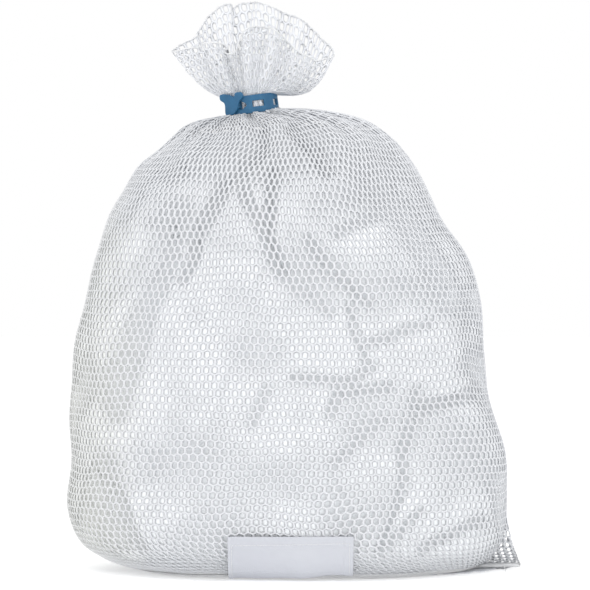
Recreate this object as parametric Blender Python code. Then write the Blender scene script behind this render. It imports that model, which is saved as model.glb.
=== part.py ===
"""A mesh laundry bag, packed with laundry and tied at the neck with a rubber strap closure.

Metres, +Z up. The bag stands on Z = 0, the origin is under the centre of its box, and its front faces -Y.
The net is a thin shell whose open top is the gathered neck. The laundry fills it, cut into separate pieces.
"""

import math

import bmesh
import bpy
import numpy as np
from mathutils import Matrix, Vector

# ---------------------------------------------------------------- driving dimensions

# Height of each ring of the packed net, how far it reaches to the left, right, front and back of the
# Z axis, and how much higher its right end is than its left end.
STATIONS = (
    (0.0000, -0.1400, 0.1650, -0.0980, 0.1000, 0.0000),
    (0.0040, -0.1660, 0.1840, -0.1170, 0.1200, 0.0000),
    (0.0130, -0.1920, 0.1980, -0.1330, 0.1380, 0.0000),
    (0.0300, -0.2140, 0.2080, -0.1460, 0.1500, 0.0000),
    (0.0650, -0.2255, 0.2105, -0.1550, 0.1565, 0.0000),
    (0.1150, -0.2208, 0.2055, -0.1580, 0.1580, 0.0000),
    (0.1750, -0.2182, 0.1918, -0.1575, 0.1570, 0.0000),
    (0.2250, -0.2150, 0.1885, -0.1540, 0.1540, 0.0000),
    (0.2700, -0.2072, 0.1830, -0.1470, 0.1470, 0.0000),
    (0.3100, -0.1985, 0.1705, -0.1370, 0.1370, 0.0000),
    (0.3450, -0.1860, 0.1515, -0.1240, 0.1240, 0.0000),
    (0.3750, -0.1695, 0.1360, -0.1080, 0.1090, 0.0000),
    (0.4000, -0.1545, 0.1215, -0.0900, 0.0920, 0.0000),
    (0.4200, -0.1340, 0.1050, -0.0730, 0.0750, 0.0020),
    (0.4340, -0.1190, 0.0830, -0.0570, 0.0590, 0.0050),
    (0.4430, -0.1080, 0.0600, -0.0450, 0.0470, 0.0080),
    (0.4490, -0.0900, 0.0220, -0.0310, 0.0330, 0.0090),
    (0.4510, -0.0610, -0.0188, -0.0148, 0.0178, 0.0060),
)
SQUARENESS = 2.25  # exponent of the super-ellipse of each ring
RING_SIDES = 32

NET_WALL = 0.0022
LAUNDRY_INSET = 0.0034
LAUNDRY_TOP_STATION = 14
CUT_GAP = 0.0012  # between two pieces of laundry

# The sloping planes that part the laundry: a point on each, and the way it faces.
LAYER_LOW = ((0.0, 0.0, 0.150), (-0.16, -0.10, 1.0))
LAYER_HIGH = ((0.0, 0.0, 0.300), (0.22, 0.12, 1.0))
LOWER_SPLIT = ((0.020, 0.0, 0.080), (1.0, 0.18, 0.25))
MIDDLE_BACK = ((0.0, 0.045, 0.220), (0.10, 1.0, 0.15))
MIDDLE_SPLIT = ((-0.030, 0.0, 0.220), (1.0, -0.15, -0.30))
UPPER_SPLIT = ((-0.030, 0.0, 0.380), (1.0, 0.20, 0.12))

# The strap closure has a frame of its own: its centre, and its lean, which lifts its right side.
NECK_CENTRE = Vector((-0.0415, 0.0, 0.4615))
NECK_LEAN = math.radians(-8.0)
STRAP_HALF_ACROSS = 0.0250  # to the middle of the strap's thickness, left and right
STRAP_HALF_DEEP = 0.0200  # and front and back
STRAP_THICKNESS = 0.0030
STRAP_WIDTH = 0.0180
STRAP_OVERLAP_INSET = 0.0036  # how far the band runs inside the arm where they overlap
SLOT_HALF_HEIGHT = 0.0030
HOOK_SLOT_HALF_HEIGHT = 0.0042
SLOT_ANGLES = ((-127.0, -102.0), (-88.0, -61.0), (-34.0, -12.0))  # degrees, the hook slot first
HOOK_SLOT_MARGIN = 4.0  # degrees beside the hook slot over which the strap's rows are spaced for it
ARM_END_ANGLE = -168.0
BAND_END_ANGLE = 243.0
HINGE_GAP_ANGLE = 0.6

# The fishtail head lies flat against the arm, in a plane that touches it at this angle.
TAIL_TOUCH_ANGLE = -122.0
TAIL_THICKNESS = 0.0028
# Its outline, along the strap and up, from the point where its plane touches the arm.
TAIL_OUTLINE = (
    (-0.0139, -0.0077),
    (-0.0124, 0.0045),
    (-0.0177, 0.0086),
    (-0.0171, 0.0136),
    (-0.0126, 0.0142),
    (-0.0047, 0.0116),
    (-0.0017, 0.0091),
    (0.0005, 0.0136),
    (0.0070, 0.0132),
    (0.0092, 0.0086),
    (0.0065, 0.0063),
    (0.0030, 0.0036),
    (0.0007, -0.0031),
    (-0.0043, -0.0082),
)
TAIL_STEM_WIDTH, TAIL_STEM_HEIGHT = 0.0038, 0.0052

# The rim of the ruffle, from the neck's centre line.
RUFFLE_REACH_ACROSS = 0.0785
RUFFLE_REACH_DEEP = 0.0580
RUFFLE_SIDE_HEIGHT = 0.5160
RUFFLE_FRONT_HEIGHT = 0.5636
RUFFLE_MIDDLE_HEIGHT = 0.5450
HEM_RADIUS = 0.0014

SIDE_SEAM_RADIUS = 0.0018
BOTTOM_SEAM_LIFT = 0.0012
BOTTOM_SEAM_THICKNESS = 0.0014
BOTTOM_SEAM_STATIONS = (0.75, 1.30)
BOTTOM_SEAM_CORNERS = range(18, 32)  # of the rings, left to right
THREAD_TAIL = (
    (0.2085, -0.0235, 0.0030),
    (0.2090, -0.0300, 0.0016),
    (0.2095, -0.0370, 0.0009),
    (0.2085, -0.0450, 0.0008),
)
THREAD_TAIL_RADIUS = 0.0006

# The empty corner at the bottom right: a fin, with the outline of its outer edge from the floor up.
EAR_Y = -0.020
EAR_HALF_THICKNESS = 0.0012
EAR_GAP = 0.0010
EAR_TOP = (0.2120, 0.0580)
EAR_EDGE = ((0.2090, 0.0008), (0.2255, 0.0040), (0.2235, 0.0130), (0.2158, 0.0330), (0.2140, 0.0480))

LABEL_LEFT, LABEL_RIGHT = -0.0616, 0.0562
LABEL_THICKNESS = 0.0008
LABEL_TOP_STATION = 3.49
LABEL_BOTTOM_STATIONS = (0.95, 1.60)  # at its left and at its right
LABEL_TOP_LIFT, LABEL_BOTTOM_LIFT = 0.0014, 0.0030
LABEL_STITCH_RADIUS = 0.0004
LABEL_STITCH_SIDE, LABEL_STITCH_TOP, LABEL_STITCH_FOOT = 0.03, 0.10, 0.80  # shares of its width and height
BAR_TACK_SIZE = (0.0050, 0.0010, 0.0120)

CLEARANCE = 0.0003

WHITE_NET = ("net_knit", (0.86, 0.87, 0.90), 0.75)
WHITE_THREAD = ("thread", (0.80, 0.81, 0.82), 0.70)
WHITE_LABEL = ("label_twill", (0.84, 0.85, 0.90), 0.80)
WHITE_TERRY = ("laundry_cotton", (0.83, 0.84, 0.87), 0.90)
BLUE_RUBBER = ("rubber", (0.017, 0.115, 0.262), 0.45)


# ---------------------------------------------------------------- small tools


def material(look):
    """The Principled material of this look, made the first time it is asked for."""
    name, colour, roughness = look
    if name in bpy.data.materials:
        return bpy.data.materials[name]
    made = bpy.data.materials.new(name)
    made.use_nodes = True
    shader = made.node_tree.nodes["Principled BSDF"]
    shader.inputs["Base Color"].default_value = (*colour, 1.0)
    shader.inputs["Roughness"].default_value = roughness
    shader.inputs["Metallic"].default_value = 0.0
    return made


def add_mesh(name, bm, look, smooth_degrees=40.0):
    """An object from this bmesh, with its faces turned outwards."""
    bmesh.ops.recalc_face_normals(bm, faces=bm.faces)
    mesh = bpy.data.meshes.new(name)
    bm.to_mesh(mesh)
    bm.free()
    mesh.shade_smooth()
    mesh.set_sharp_from_angle(angle=math.radians(smooth_degrees))
    mesh.materials.append(material(look))
    made = bpy.data.objects.new(name, mesh)
    bpy.context.scene.collection.objects.link(made)
    return made


def add_tube(name, points, radius, look, cyclic=False, resolution=2):
    """A round tube through these points, with closed ends unless it is a ring."""
    curve = bpy.data.curves.new(name, "CURVE")
    curve.dimensions = "3D"
    curve.bevel_depth = radius
    curve.bevel_resolution = resolution
    curve.use_fill_caps = not cyclic
    line = curve.splines.new("POLY")
    line.points.add(len(points) - 1)
    for slot, point in zip(line.points, points):
        slot.co = (*point, 1.0)
    line.use_cyclic_u = cyclic
    curve.materials.append(material(look))
    made = bpy.data.objects.new(name, curve)
    bpy.context.scene.collection.objects.link(made)
    return made


def thicken(sheet, thickness):
    """Solidify, half to each side of the sheet."""
    solid = sheet.modifiers.new("thickness", "SOLIDIFY")
    solid.thickness = thickness
    solid.offset = 0.0
    solid.use_even_offset = True


def stack_rings(bm, rings):
    """Quads between rings of points, each ring closed on itself. Gives the rings' vertices."""
    stacked = [[bm.verts.new(point) for point in ring] for ring in rings]
    for lower, upper in zip(stacked, stacked[1:]):
        for i in range(len(lower)):
            j = (i + 1) % len(lower)
            bm.faces.new((lower[i], lower[j], upper[j], upper[i]))
    return stacked


def close_sides(bm, layers):
    """Quads between two outlines of the same points."""
    for i in range(len(layers[0])):
        j = (i + 1) % len(layers[0])
        bm.faces.new((layers[0][i], layers[0][j], layers[1][j], layers[1][i]))


def spread(start, end, count):
    """Evenly spaced values from start to end, both included."""
    return [start + (end - start) * i / count for i in range(count + 1)]


def sheet_of(rows):
    """A bmesh sheet of quads between rows of points."""
    bm = bmesh.new()
    verts = [[bm.verts.new(point) for point in row] for row in rows]
    for lower, upper in zip(verts, verts[1:]):
        for i in range(len(lower) - 1):
            bm.faces.new((lower[i], lower[i + 1], upper[i + 1], upper[i]))
    return bm


# ---------------------------------------------------------------- the packed shape


def station(k):
    """The station at k, between whole stations a Catmull-Rom blend of its neighbours."""
    last = len(STATIONS) - 1
    low = min(max(int(math.floor(k)), 0), last - 1)
    t = k - low
    before, first, second, after = (
        np.array(STATIONS[min(max(i, 0), last)]) for i in range(low - 1, low + 3)
    )
    return 0.5 * (
        2 * first
        + (second - before) * t
        + (2 * before - 5 * first + 4 * second - after) * t**2
        + (3 * first - before - 3 * second + after) * t**3
    )


def bag_point(angle, k):
    """The outside of the net at this angle round it (0 right, 90 degrees back) and station."""
    height, left, right, front, back, rise = station(k)
    across = math.copysign(abs(math.cos(angle)) ** (2 / SQUARENESS), math.cos(angle))
    deep = math.copysign(abs(math.sin(angle)) ** (2 / SQUARENESS), math.sin(angle))
    return Vector(
        (
            (left + right) / 2 + (right - left) / 2 * across,
            deep * (back if deep > 0 else -front),
            height + rise * across / 2,
        )
    )


def bag_normal(angle, k):
    """The way out of the net there."""
    last = len(STATIONS) - 1
    step = 1e-3
    low, high = max(k - 0.5, 0.0), min(k + 0.5, last)
    up = bag_point(angle, high) - bag_point(angle, low)
    around = bag_point(angle + step, k) - bag_point(angle - step, k)
    return around.cross(up).normalized()


def off_bag(angle, k, distance):
    """A point this far outside the net, or inside it where distance is negative."""
    point = bag_point(angle, k) + bag_normal(angle, k) * distance
    if k == 0:
        point.z = -distance
    return point


def ring_angles():
    return [2 * math.pi * i / RING_SIDES for i in range(RING_SIDES)]


def bag_ring(k, distance):
    return [off_bag(angle, k, distance) for angle in ring_angles()]


def angle_across(x, k):
    """The angle on the front of the net, at station k, whose point has this x."""
    low, high = math.pi, 2 * math.pi
    for _ in range(40):
        middle = (low + high) / 2
        if bag_point(middle, k).x < x:
            low = middle
        else:
            high = middle
    return low


def strap_frame():
    """The matrix of the strap closure's own frame, its Z along the neck."""
    return Matrix.Translation(NECK_CENTRE) @ Matrix.Rotation(NECK_LEAN, 4, "Y")


# ---------------------------------------------------------------- the net


def build_net_body():
    """The filled net: a thin wall with a flat foot, open at the top where the neck begins."""
    bm = bmesh.new()
    last = len(STATIONS)
    outside = stack_rings(bm, [bag_ring(k, 0.0) for k in range(last)])
    inside = stack_rings(bm, [bag_ring(k, -NET_WALL) for k in range(last)])
    bm.faces.new(outside[0])
    bm.faces.new(inside[0])
    for i in range(RING_SIDES):
        j = (i + 1) % RING_SIDES
        bm.faces.new((outside[-1][i], outside[-1][j], inside[-1][j], inside[-1][i]))
    add_mesh("net_body", bm, WHITE_NET)


def overlap_inset(degrees):
    """How far inside the strap's outer line the band runs, at this angle in its frame."""
    degrees = degrees % 360.0
    if degrees <= 150.0 or degrees >= 265.0:
        return 0.0
    if degrees < 185.0:
        share = (degrees - 150.0) / 35.0
    elif degrees > 245.0:
        share = (265.0 - degrees) / 20.0
    else:
        share = 1.0
    return STRAP_OVERLAP_INSET * share * share * (3 - 2 * share)


def strap_point(degrees, height, inset=0.0):
    """A point on the strap's line, in its frame."""
    angle = math.radians(degrees)
    return Vector(
        (
            (STRAP_HALF_ACROSS - inset) * math.cos(angle),
            (STRAP_HALF_DEEP - inset) * math.sin(angle),
            height,
        )
    )


def build_net_neck():
    """The gathered net inside the strap."""
    frame = strap_frame()
    inset = STRAP_THICKNESS / 2 + 2 * CLEARANCE
    low, high = -0.0082, 0.0088
    rings = []
    for height in (low, 0.0, high):
        ring = []
        for angle in ring_angles():
            degrees = math.degrees(angle)
            ring.append(frame @ strap_point(degrees, height, inset + overlap_inset(degrees)))
        rings.append(ring)
    bm = bmesh.new()
    stacked = stack_rings(bm, rings)
    bm.faces.new(stacked[0])
    bm.faces.new(stacked[-1])
    add_mesh("net_neck", bm, WHITE_NET)


def rim_point(angle, outward=0.0):
    """A point on the ruffle's rim, which stands highest at the front and the back."""
    share = abs(math.sin(angle)) ** 0.8
    return Vector(
        (
            NECK_CENTRE.x + (RUFFLE_REACH_ACROSS + outward) * math.cos(angle),
            (RUFFLE_REACH_DEEP + outward) * math.sin(angle),
            RUFFLE_SIDE_HEIGHT + (RUFFLE_FRONT_HEIGHT - RUFFLE_SIDE_HEIGHT) * share,
        )
    )


def build_net_ruffle():
    """The flared net above the strap, as a fan whose underside clears the strap all round."""
    frame = strap_frame()
    foot_height = STRAP_WIDTH / 2 + 2 * CLEARANCE
    rings = []
    for share in (0.0, 0.3, 0.65, 1.0):
        ring = []
        for angle in ring_angles():
            foot = frame @ strap_point(math.degrees(angle), foot_height, 0.0045)
            rim = rim_point(angle)
            reach = share**0.85
            point = foot.lerp(rim, reach)
            point.z = foot.z + (rim.z - foot.z) * share
            ring.append(point)
        rings.append(ring)
    bm = bmesh.new()
    stacked = stack_rings(bm, rings)
    bm.faces.new(stacked[0])
    middle = bm.verts.new((NECK_CENTRE.x, 0.0, RUFFLE_MIDDLE_HEIGHT))
    rim = stacked[-1]
    for i in range(RING_SIDES):
        bm.faces.new((rim[i], rim[(i + 1) % RING_SIDES], middle))
    add_mesh("net_ruffle", bm, WHITE_NET)


def build_corner_ear():
    """The empty corner of net at the bottom right: a thin fin that follows the body's side."""
    inner = [EAR_TOP]
    inner += [(STATIONS[k][2] + EAR_GAP, max(STATIONS[k][0], EAR_EDGE[0][1])) for k in (3, 2, 1)]
    outline = inner + list(EAR_EDGE)
    bm = bmesh.new()
    sides = []
    for y in (EAR_Y - EAR_HALF_THICKNESS, EAR_Y + EAR_HALF_THICKNESS):
        sides.append([bm.verts.new((x, y, z)) for x, z in outline])
        bm.faces.new(sides[-1])
    close_sides(bm, sides)
    add_mesh("corner_ear", bm, WHITE_NET)


# ---------------------------------------------------------------- seams, hem and label


def build_seams():
    """The cord-like side seam, the flat bottom seam, its thread tail and the hem of the mouth."""
    side = [off_bag(0.0, k, SIDE_SEAM_RADIUS + 2 * CLEARANCE) for k in range(4, 16)]
    add_tube("side_seam", side, SIDE_SEAM_RADIUS, WHITE_THREAD)

    angles = [ring_angles()[i] for i in BOTTOM_SEAM_CORNERS]
    rows = [[off_bag(angle, k, BOTTOM_SEAM_LIFT) for angle in angles] for k in BOTTOM_SEAM_STATIONS]
    for row in rows:
        for point in row:
            point.z = max(point.z, BOTTOM_SEAM_THICKNESS / 2 + CLEARANCE)
    thicken(add_mesh("bottom_seam", sheet_of(rows), WHITE_THREAD), BOTTOM_SEAM_THICKNESS)

    add_tube("seam_thread_tail", THREAD_TAIL, THREAD_TAIL_RADIUS, WHITE_THREAD)

    outward, upward, count = 0.0022, Vector((0, 0, 0.0006)), 64
    rim = [rim_point(2 * math.pi * i / count, outward) + upward for i in range(count)]
    add_tube("mouth_hem", rim, HEM_RADIUS, WHITE_THREAD, cyclic=True, resolution=1)


def label_point(across, down, lift=0.0):
    """A point on the patch, across and down it from 0 to 1, lifted off it by this much."""
    left_foot, right_foot = LABEL_BOTTOM_STATIONS
    foot = left_foot + (right_foot - left_foot) * across
    k = LABEL_TOP_STATION + (foot - LABEL_TOP_STATION) * down
    x = LABEL_LEFT + (LABEL_RIGHT - LABEL_LEFT) * across
    stand_off = LABEL_TOP_LIFT + (LABEL_BOTTOM_LIFT - LABEL_TOP_LIFT) * down
    point = off_bag(angle_across(x, k), k, stand_off + lift)
    point.z = max(point.z, LABEL_THICKNESS)
    return point


def build_label():
    """The woven patch over the bottom seam, and the thread along its two sides and its top."""
    rows, columns = 6, 7
    grid = [[label_point(i / (columns - 1), j / (rows - 1)) for i in range(columns)] for j in range(rows)]
    thicken(add_mesh("label_patch", sheet_of(grid), WHITE_LABEL), LABEL_THICKNESS)

    lift = LABEL_THICKNESS / 2 + LABEL_STITCH_RADIUS + 2 * CLEARANCE
    side, top = LABEL_STITCH_SIDE, LABEL_STITCH_TOP
    downwards = spread(top, LABEL_STITCH_FOOT, 5)
    left = [label_point(side, down, lift) for down in reversed(downwards)]
    across = [label_point(share, top, lift) for share in spread(side, 1 - side, 8)[1:-1]]
    right = [label_point(1 - side, down, lift) for down in downwards]
    add_tube("label_stitching", left + across + right, LABEL_STITCH_RADIUS, WHITE_THREAD)


# ---------------------------------------------------------------- the strap closure


def strap_sheet(columns, inset_at, slots):
    """The strap's middle sheet: four rows of points, with the middle strip left out in each slot."""
    frame = strap_frame()
    bm = bmesh.new()
    grid = []
    for degrees in columns:
        hook = SLOT_ANGLES[0][0] - HOOK_SLOT_MARGIN <= degrees <= SLOT_ANGLES[0][1] + HOOK_SLOT_MARGIN
        half = HOOK_SLOT_HALF_HEIGHT if hook else SLOT_HALF_HEIGHT
        heights = (-STRAP_WIDTH / 2, -half, half, STRAP_WIDTH / 2)
        grid.append([bm.verts.new(frame @ strap_point(degrees, h, inset_at(degrees))) for h in heights])
    for i in range(len(columns) - 1):
        middle = (columns[i] + columns[i + 1]) / 2
        in_slot = any(low < middle < high for low, high in slots)
        for row in range(3):
            if row == 1 and in_slot:
                continue
            bm.faces.new((grid[i][row], grid[i + 1][row], grid[i + 1][row + 1], grid[i][row + 1]))
    return bm


def build_closure_band():
    """The part of the strap that is fixed to the net: from the bend, round the back, to the hook."""
    columns = spread(HINGE_GAP_ANGLE, BAND_END_ANGLE, 30)
    band = add_mesh("closure_band", strap_sheet(columns, overlap_inset, ()), BLUE_RUBBER)
    thicken(band, STRAP_THICKNESS)

    frame = strap_frame()
    back = STRAP_HALF_DEEP + STRAP_THICKNESS / 2 + 2 * CLEARANCE
    bm = bmesh.new()
    bmesh.ops.create_cube(bm, size=1.0)
    centre = Matrix.Translation((0.0, back + CLEARANCE + BAR_TACK_SIZE[1] / 2, 0.0))
    bm.transform(frame @ centre @ Matrix.Diagonal((*BAR_TACK_SIZE, 1.0)))
    bmesh.ops.bevel(bm, geom=bm.edges[:], offset=0.0003, segments=1, affect="EDGES", profile=0.5)
    add_mesh("closure_stitching", bm, WHITE_THREAD)


def build_closure_arm():
    """The free end of the strap, with a row of slots, pulled across the front of the neck."""
    bounds = [-HINGE_GAP_ANGLE]
    for low, high in reversed(SLOT_ANGLES):
        bounds += [high, low]
    bounds.append(ARM_END_ANGLE)
    columns = []
    step = 9.0
    for start, end in zip(bounds, bounds[1:]):
        count = max(2, round(abs(end - start) / step))
        columns += spread(start, end, count)[:-1]
    columns.append(ARM_END_ANGLE)
    arm = add_mesh("closure_arm", strap_sheet(columns, lambda degrees: 0.0, SLOT_ANGLES), BLUE_RUBBER)
    thicken(arm, STRAP_THICKNESS)


def build_closure_tail():
    """The fishtail: a stem that comes out through the arm's hook slot, and a head with two ears."""
    frame = strap_frame()
    touch = math.radians(TAIL_TOUCH_ANGLE)
    outward = Vector((STRAP_HALF_DEEP * math.cos(touch), STRAP_HALF_ACROSS * math.sin(touch), 0))
    outward.normalize()
    along = Vector((-outward.y, outward.x, 0))  # to the right, seen from outside
    base = strap_point(TAIL_TOUCH_ANGLE, 0.0) + outward * (STRAP_THICKNESS / 2 + 2 * CLEARANCE)
    bm = bmesh.new()
    layers = []
    for lift in (0.0, TAIL_THICKNESS):
        foot = base + outward * lift
        layers.append([bm.verts.new(foot + along * x + Vector((0, 0, z))) for x, z in TAIL_OUTLINE])
        bm.faces.new(layers[-1])
    close_sides(bm, layers)
    bm.transform(frame)
    head = add_mesh("closure_tail", bm, BLUE_RUBBER)

    stem_bm = bmesh.new()
    bmesh.ops.create_cube(stem_bm, size=1.0)
    into_head = 0.0010
    depth = STRAP_THICKNESS + 0.0006 + into_head
    turn = Matrix((along.to_4d(), outward.to_4d(), (0, 0, 1, 0), (0, 0, 0, 1))).transposed()
    turn[3][0] = turn[3][1] = 0.0
    centre = base - outward * (depth / 2 - into_head)
    size = Matrix.Diagonal((TAIL_STEM_WIDTH, depth, TAIL_STEM_HEIGHT, 1.0))
    stem_bm.transform(frame @ Matrix.Translation(centre) @ turn @ size)
    stem = add_mesh("stem_guide", stem_bm, BLUE_RUBBER)
    stem.hide_render = True
    stem.display_type = "WIRE"
    joined = head.modifiers.new("stem", "BOOLEAN")
    joined.operation = "UNION"
    joined.object = stem


# ---------------------------------------------------------------- the laundry


def above(plane):
    """The plane as a point and a unit vector towards the side that is kept."""
    point, facing = plane
    return Vector(point), Vector(facing).normalized()


def below(plane):
    point, facing = above(plane)
    return point, -facing


LAUNDRY_PIECES = {
    "towel_lower_left": (below(LAYER_LOW), below(LOWER_SPLIT)),
    "towel_lower_right": (below(LAYER_LOW), above(LOWER_SPLIT)),
    "sheet_middle_left": (above(LAYER_LOW), below(LAYER_HIGH), below(MIDDLE_BACK), below(MIDDLE_SPLIT)),
    "sheet_middle_right": (above(LAYER_LOW), below(LAYER_HIGH), below(MIDDLE_BACK), above(MIDDLE_SPLIT)),
    "sheet_middle_back": (above(LAYER_LOW), below(LAYER_HIGH), above(MIDDLE_BACK)),
    "pillowcase_upper_left": (above(LAYER_HIGH), below(UPPER_SPLIT)),
    "pillowcase_upper_right": (above(LAYER_HIGH), above(UPPER_SPLIT)),
}


def cut_away(bm, point, normal):
    """Keeps what is beyond the plane, by half a gap, and closes the cut."""
    cut = bmesh.ops.bisect_plane(
        bm,
        geom=bm.verts[:] + bm.edges[:] + bm.faces[:],
        plane_co=point + normal * CUT_GAP / 2,
        plane_no=normal,
        clear_inner=True,
    )
    edges = [part for part in cut["geom_cut"] if isinstance(part, bmesh.types.BMEdge)]
    bmesh.ops.contextual_create(bm, geom=edges)


def build_laundry():
    """Seven pieces that fill the net, cut from its inner shape by the sloping planes."""
    for name, planes in LAUNDRY_PIECES.items():
        bm = bmesh.new()
        stacked = stack_rings(bm, [bag_ring(k, -LAUNDRY_INSET) for k in range(LAUNDRY_TOP_STATION + 1)])
        bm.faces.new(stacked[0])
        bm.faces.new(stacked[-1])
        bmesh.ops.recalc_face_normals(bm, faces=bm.faces)
        for point, normal in planes:
            cut_away(bm, point, normal)
        add_mesh(name, bm, WHITE_TERRY)


def build():
    for old in list(bpy.data.objects):
        bpy.data.objects.remove(old)
    build_net_body()
    build_net_neck()
    build_net_ruffle()
    build_corner_ear()
    build_seams()
    build_label()
    build_closure_band()
    build_closure_arm()
    build_closure_tail()
    build_laundry()


build()
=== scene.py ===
"""The looks of the mesh laundry bag: knitted net, laundry, seams, patch and rubber strap.

Metres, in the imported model's frame: +Z up, the front faces -Y. The net is lattices of knitted
cells, laid over a stack of rings that runs from the floor, through the neck, to the ruffle's rim.
"""

import math

import bmesh
import bpy
import numpy as np
from mathutils import Matrix, Vector


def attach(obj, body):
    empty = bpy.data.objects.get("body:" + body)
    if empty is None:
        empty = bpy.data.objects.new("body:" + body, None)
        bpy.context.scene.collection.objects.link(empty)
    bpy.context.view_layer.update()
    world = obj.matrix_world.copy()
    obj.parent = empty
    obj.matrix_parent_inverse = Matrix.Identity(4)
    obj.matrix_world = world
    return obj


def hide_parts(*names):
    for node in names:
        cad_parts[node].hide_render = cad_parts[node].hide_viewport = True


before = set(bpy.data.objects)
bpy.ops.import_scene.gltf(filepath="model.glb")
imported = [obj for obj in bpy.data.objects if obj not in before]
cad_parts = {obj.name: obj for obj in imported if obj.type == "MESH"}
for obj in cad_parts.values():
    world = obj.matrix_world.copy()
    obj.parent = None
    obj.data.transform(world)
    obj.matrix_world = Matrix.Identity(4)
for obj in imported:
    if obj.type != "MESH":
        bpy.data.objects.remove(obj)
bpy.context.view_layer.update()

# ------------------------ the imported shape, as the model has it

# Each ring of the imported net: its height, its reach to the left, right, front and back, and its
# rise to the right.
STATIONS = np.array((
    (0.0000, -0.1400, 0.1650, -0.0980, 0.1000, 0.0000),
    (0.0040, -0.1660, 0.1840, -0.1170, 0.1200, 0.0000),
    (0.0130, -0.1920, 0.1980, -0.1330, 0.1380, 0.0000),
    (0.0300, -0.2140, 0.2080, -0.1460, 0.1500, 0.0000),
    (0.0650, -0.2255, 0.2105, -0.1550, 0.1565, 0.0000),
    (0.1150, -0.2208, 0.2055, -0.1580, 0.1580, 0.0000),
    (0.1750, -0.2182, 0.1918, -0.1575, 0.1570, 0.0000),
    (0.2250, -0.2150, 0.1885, -0.1540, 0.1540, 0.0000),
    (0.2700, -0.2072, 0.1830, -0.1470, 0.1470, 0.0000),
    (0.3100, -0.1985, 0.1705, -0.1370, 0.1370, 0.0000),
    (0.3450, -0.1860, 0.1515, -0.1240, 0.1240, 0.0000),
    (0.3750, -0.1695, 0.1360, -0.1080, 0.1090, 0.0000),
    (0.4000, -0.1545, 0.1215, -0.0900, 0.0920, 0.0000),
    (0.4200, -0.1340, 0.1050, -0.0730, 0.0750, 0.0020),
    (0.4340, -0.1190, 0.0830, -0.0570, 0.0590, 0.0050),
    (0.4430, -0.1080, 0.0600, -0.0450, 0.0470, 0.0080),
    (0.4490, -0.0900, 0.0220, -0.0310, 0.0330, 0.0090),
    (0.4510, -0.0610, -0.0188, -0.0148, 0.0178, 0.0060),
))
LAST_STATION = len(STATIONS) - 1
SQUARENESS = 2.25

NECK_CENTRE = Vector((-0.0415, 0.0, 0.4615))
STRAP_FRAME = Matrix.Translation(NECK_CENTRE) @ Matrix.Rotation(math.radians(-8.0), 4, "Y")
STRAP_HALF_ACROSS = 0.0250
STRAP_HALF_DEEP = 0.0200
STRAP_THICKNESS = 0.0030
STRAP_WIDTH = 0.0180
STRAP_OVERLAP_INSET = 0.0036
SLOT_ANGLES = ((-127.0, -102.0), (-88.0, -61.0), (-34.0, -12.0))
HOOK_SLOT_HALF_HEIGHT = 0.0046
SLOT_HALF_HEIGHT = 0.0030
ARM_END_ANGLE = -168.0
BAND_END_ANGLE = 243.0
HINGE_GAP_ANGLE = 0.6
STRAP_STEP = 3.0  # degrees between the strap's columns of points

# ------------------------ the knit

COLUMNS = 150
RUFFLE_COLUMNS = 68
CELL_SIDE = 0.00462  # each of a cell's six sides
BAR_HALF = 0.00180  # half the width of the upright bars between holes
DIAGONAL_HALF = 0.00105
BAR_SHARE = 0.34  # the most of a narrow cell that half a bar takes
RIDGE = 0.00060  # how far the knit stands up, and down, along the middle of its bars
FLOOR_LIFT = 0.0008
DRIFT_WAVES = 10
LEAN = 0.05  # of a column, how far each wave leans it
ROW_WAVE = 0.0005
FIRST_ROW = 0.004

ANGLES = 1440  # points on each ring
EVEN_COLUMNS = 2400  # points on each ring once they are evenly apart
ANGLE_STEP = 1e-3
BODY_LEVELS, NECK_LEVELS, RUFFLE_LEVELS = 240, 14, 64
TOP_STATION = 16.55  # where the body's rings end and the strap begins


def unit(vectors):
    return vectors / np.maximum(np.linalg.norm(vectors, axis=-1, keepdims=True), 1e-12)


def waves(points, wavelength, seed, count=14):
    """A smooth field of bumps of about this size, mostly between -1 and 1."""
    random = np.random.default_rng(seed)
    directions = unit(random.normal(size=(count, 3)))
    lengths = wavelength * random.uniform(0.75, 1.35, count)
    phases = random.uniform(0.0, 2 * math.pi, count)
    turns = 2 * math.pi * (points @ (directions / lengths[:, None]).T) + phases
    return np.cos(turns).sum(-1) * 0.85 / math.sqrt(count)


def smooth_step(value, low, high):
    share = np.clip((value - low) / (high - low), 0.0, 1.0)
    return share * share * (3 - 2 * share)


def catmull_rom(before, first, second, after, t):
    """The smooth curve from first to second, for t from 0 to 1."""
    return 0.5 * (
        2 * first
        + (second - before) * t
        + (2 * before - 5 * first + 4 * second - after) * t**2
        + (3 * first - before - 3 * second + after) * t**3
    )


def stations_at(k):
    """The six station values at each k, a Catmull-Rom blend between whole stations."""
    k = np.asarray(k, float)
    low = np.clip(np.floor(k).astype(int), 0, LAST_STATION - 1)
    t = (k - low)[..., None]
    four = (STATIONS[np.clip(low + i, 0, LAST_STATION)] for i in (-1, 0, 1, 2))
    return np.moveaxis(catmull_rom(*four, t), -1, 0)


def signed_power(value, power):
    return np.sign(value) * np.abs(value) ** power


def bag_points(angle, k):
    """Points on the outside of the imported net. Angle 0 is right, and a quarter turn is the back."""
    height, left, right, front, back, rise = stations_at(k)
    across = signed_power(np.cos(angle), 2 / SQUARENESS)
    deep = signed_power(np.sin(angle), 2 / SQUARENESS)
    x = (left + right) / 2 + (right - left) / 2 * across
    y = deep * np.where(deep > 0, back, -front)
    return np.stack(np.broadcast_arrays(x, y, height + rise * across / 2), -1)


def bag_normals(angle, k, station_step):
    """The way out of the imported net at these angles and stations."""
    around = bag_points(angle + ANGLE_STEP, k) - bag_points(angle - ANGLE_STEP, k)
    above = bag_points(angle, np.minimum(k + station_step, TOP_STATION))
    below = bag_points(angle, np.maximum(k - station_step, 0.0))
    return unit(np.cross(around, above - below))


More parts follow.
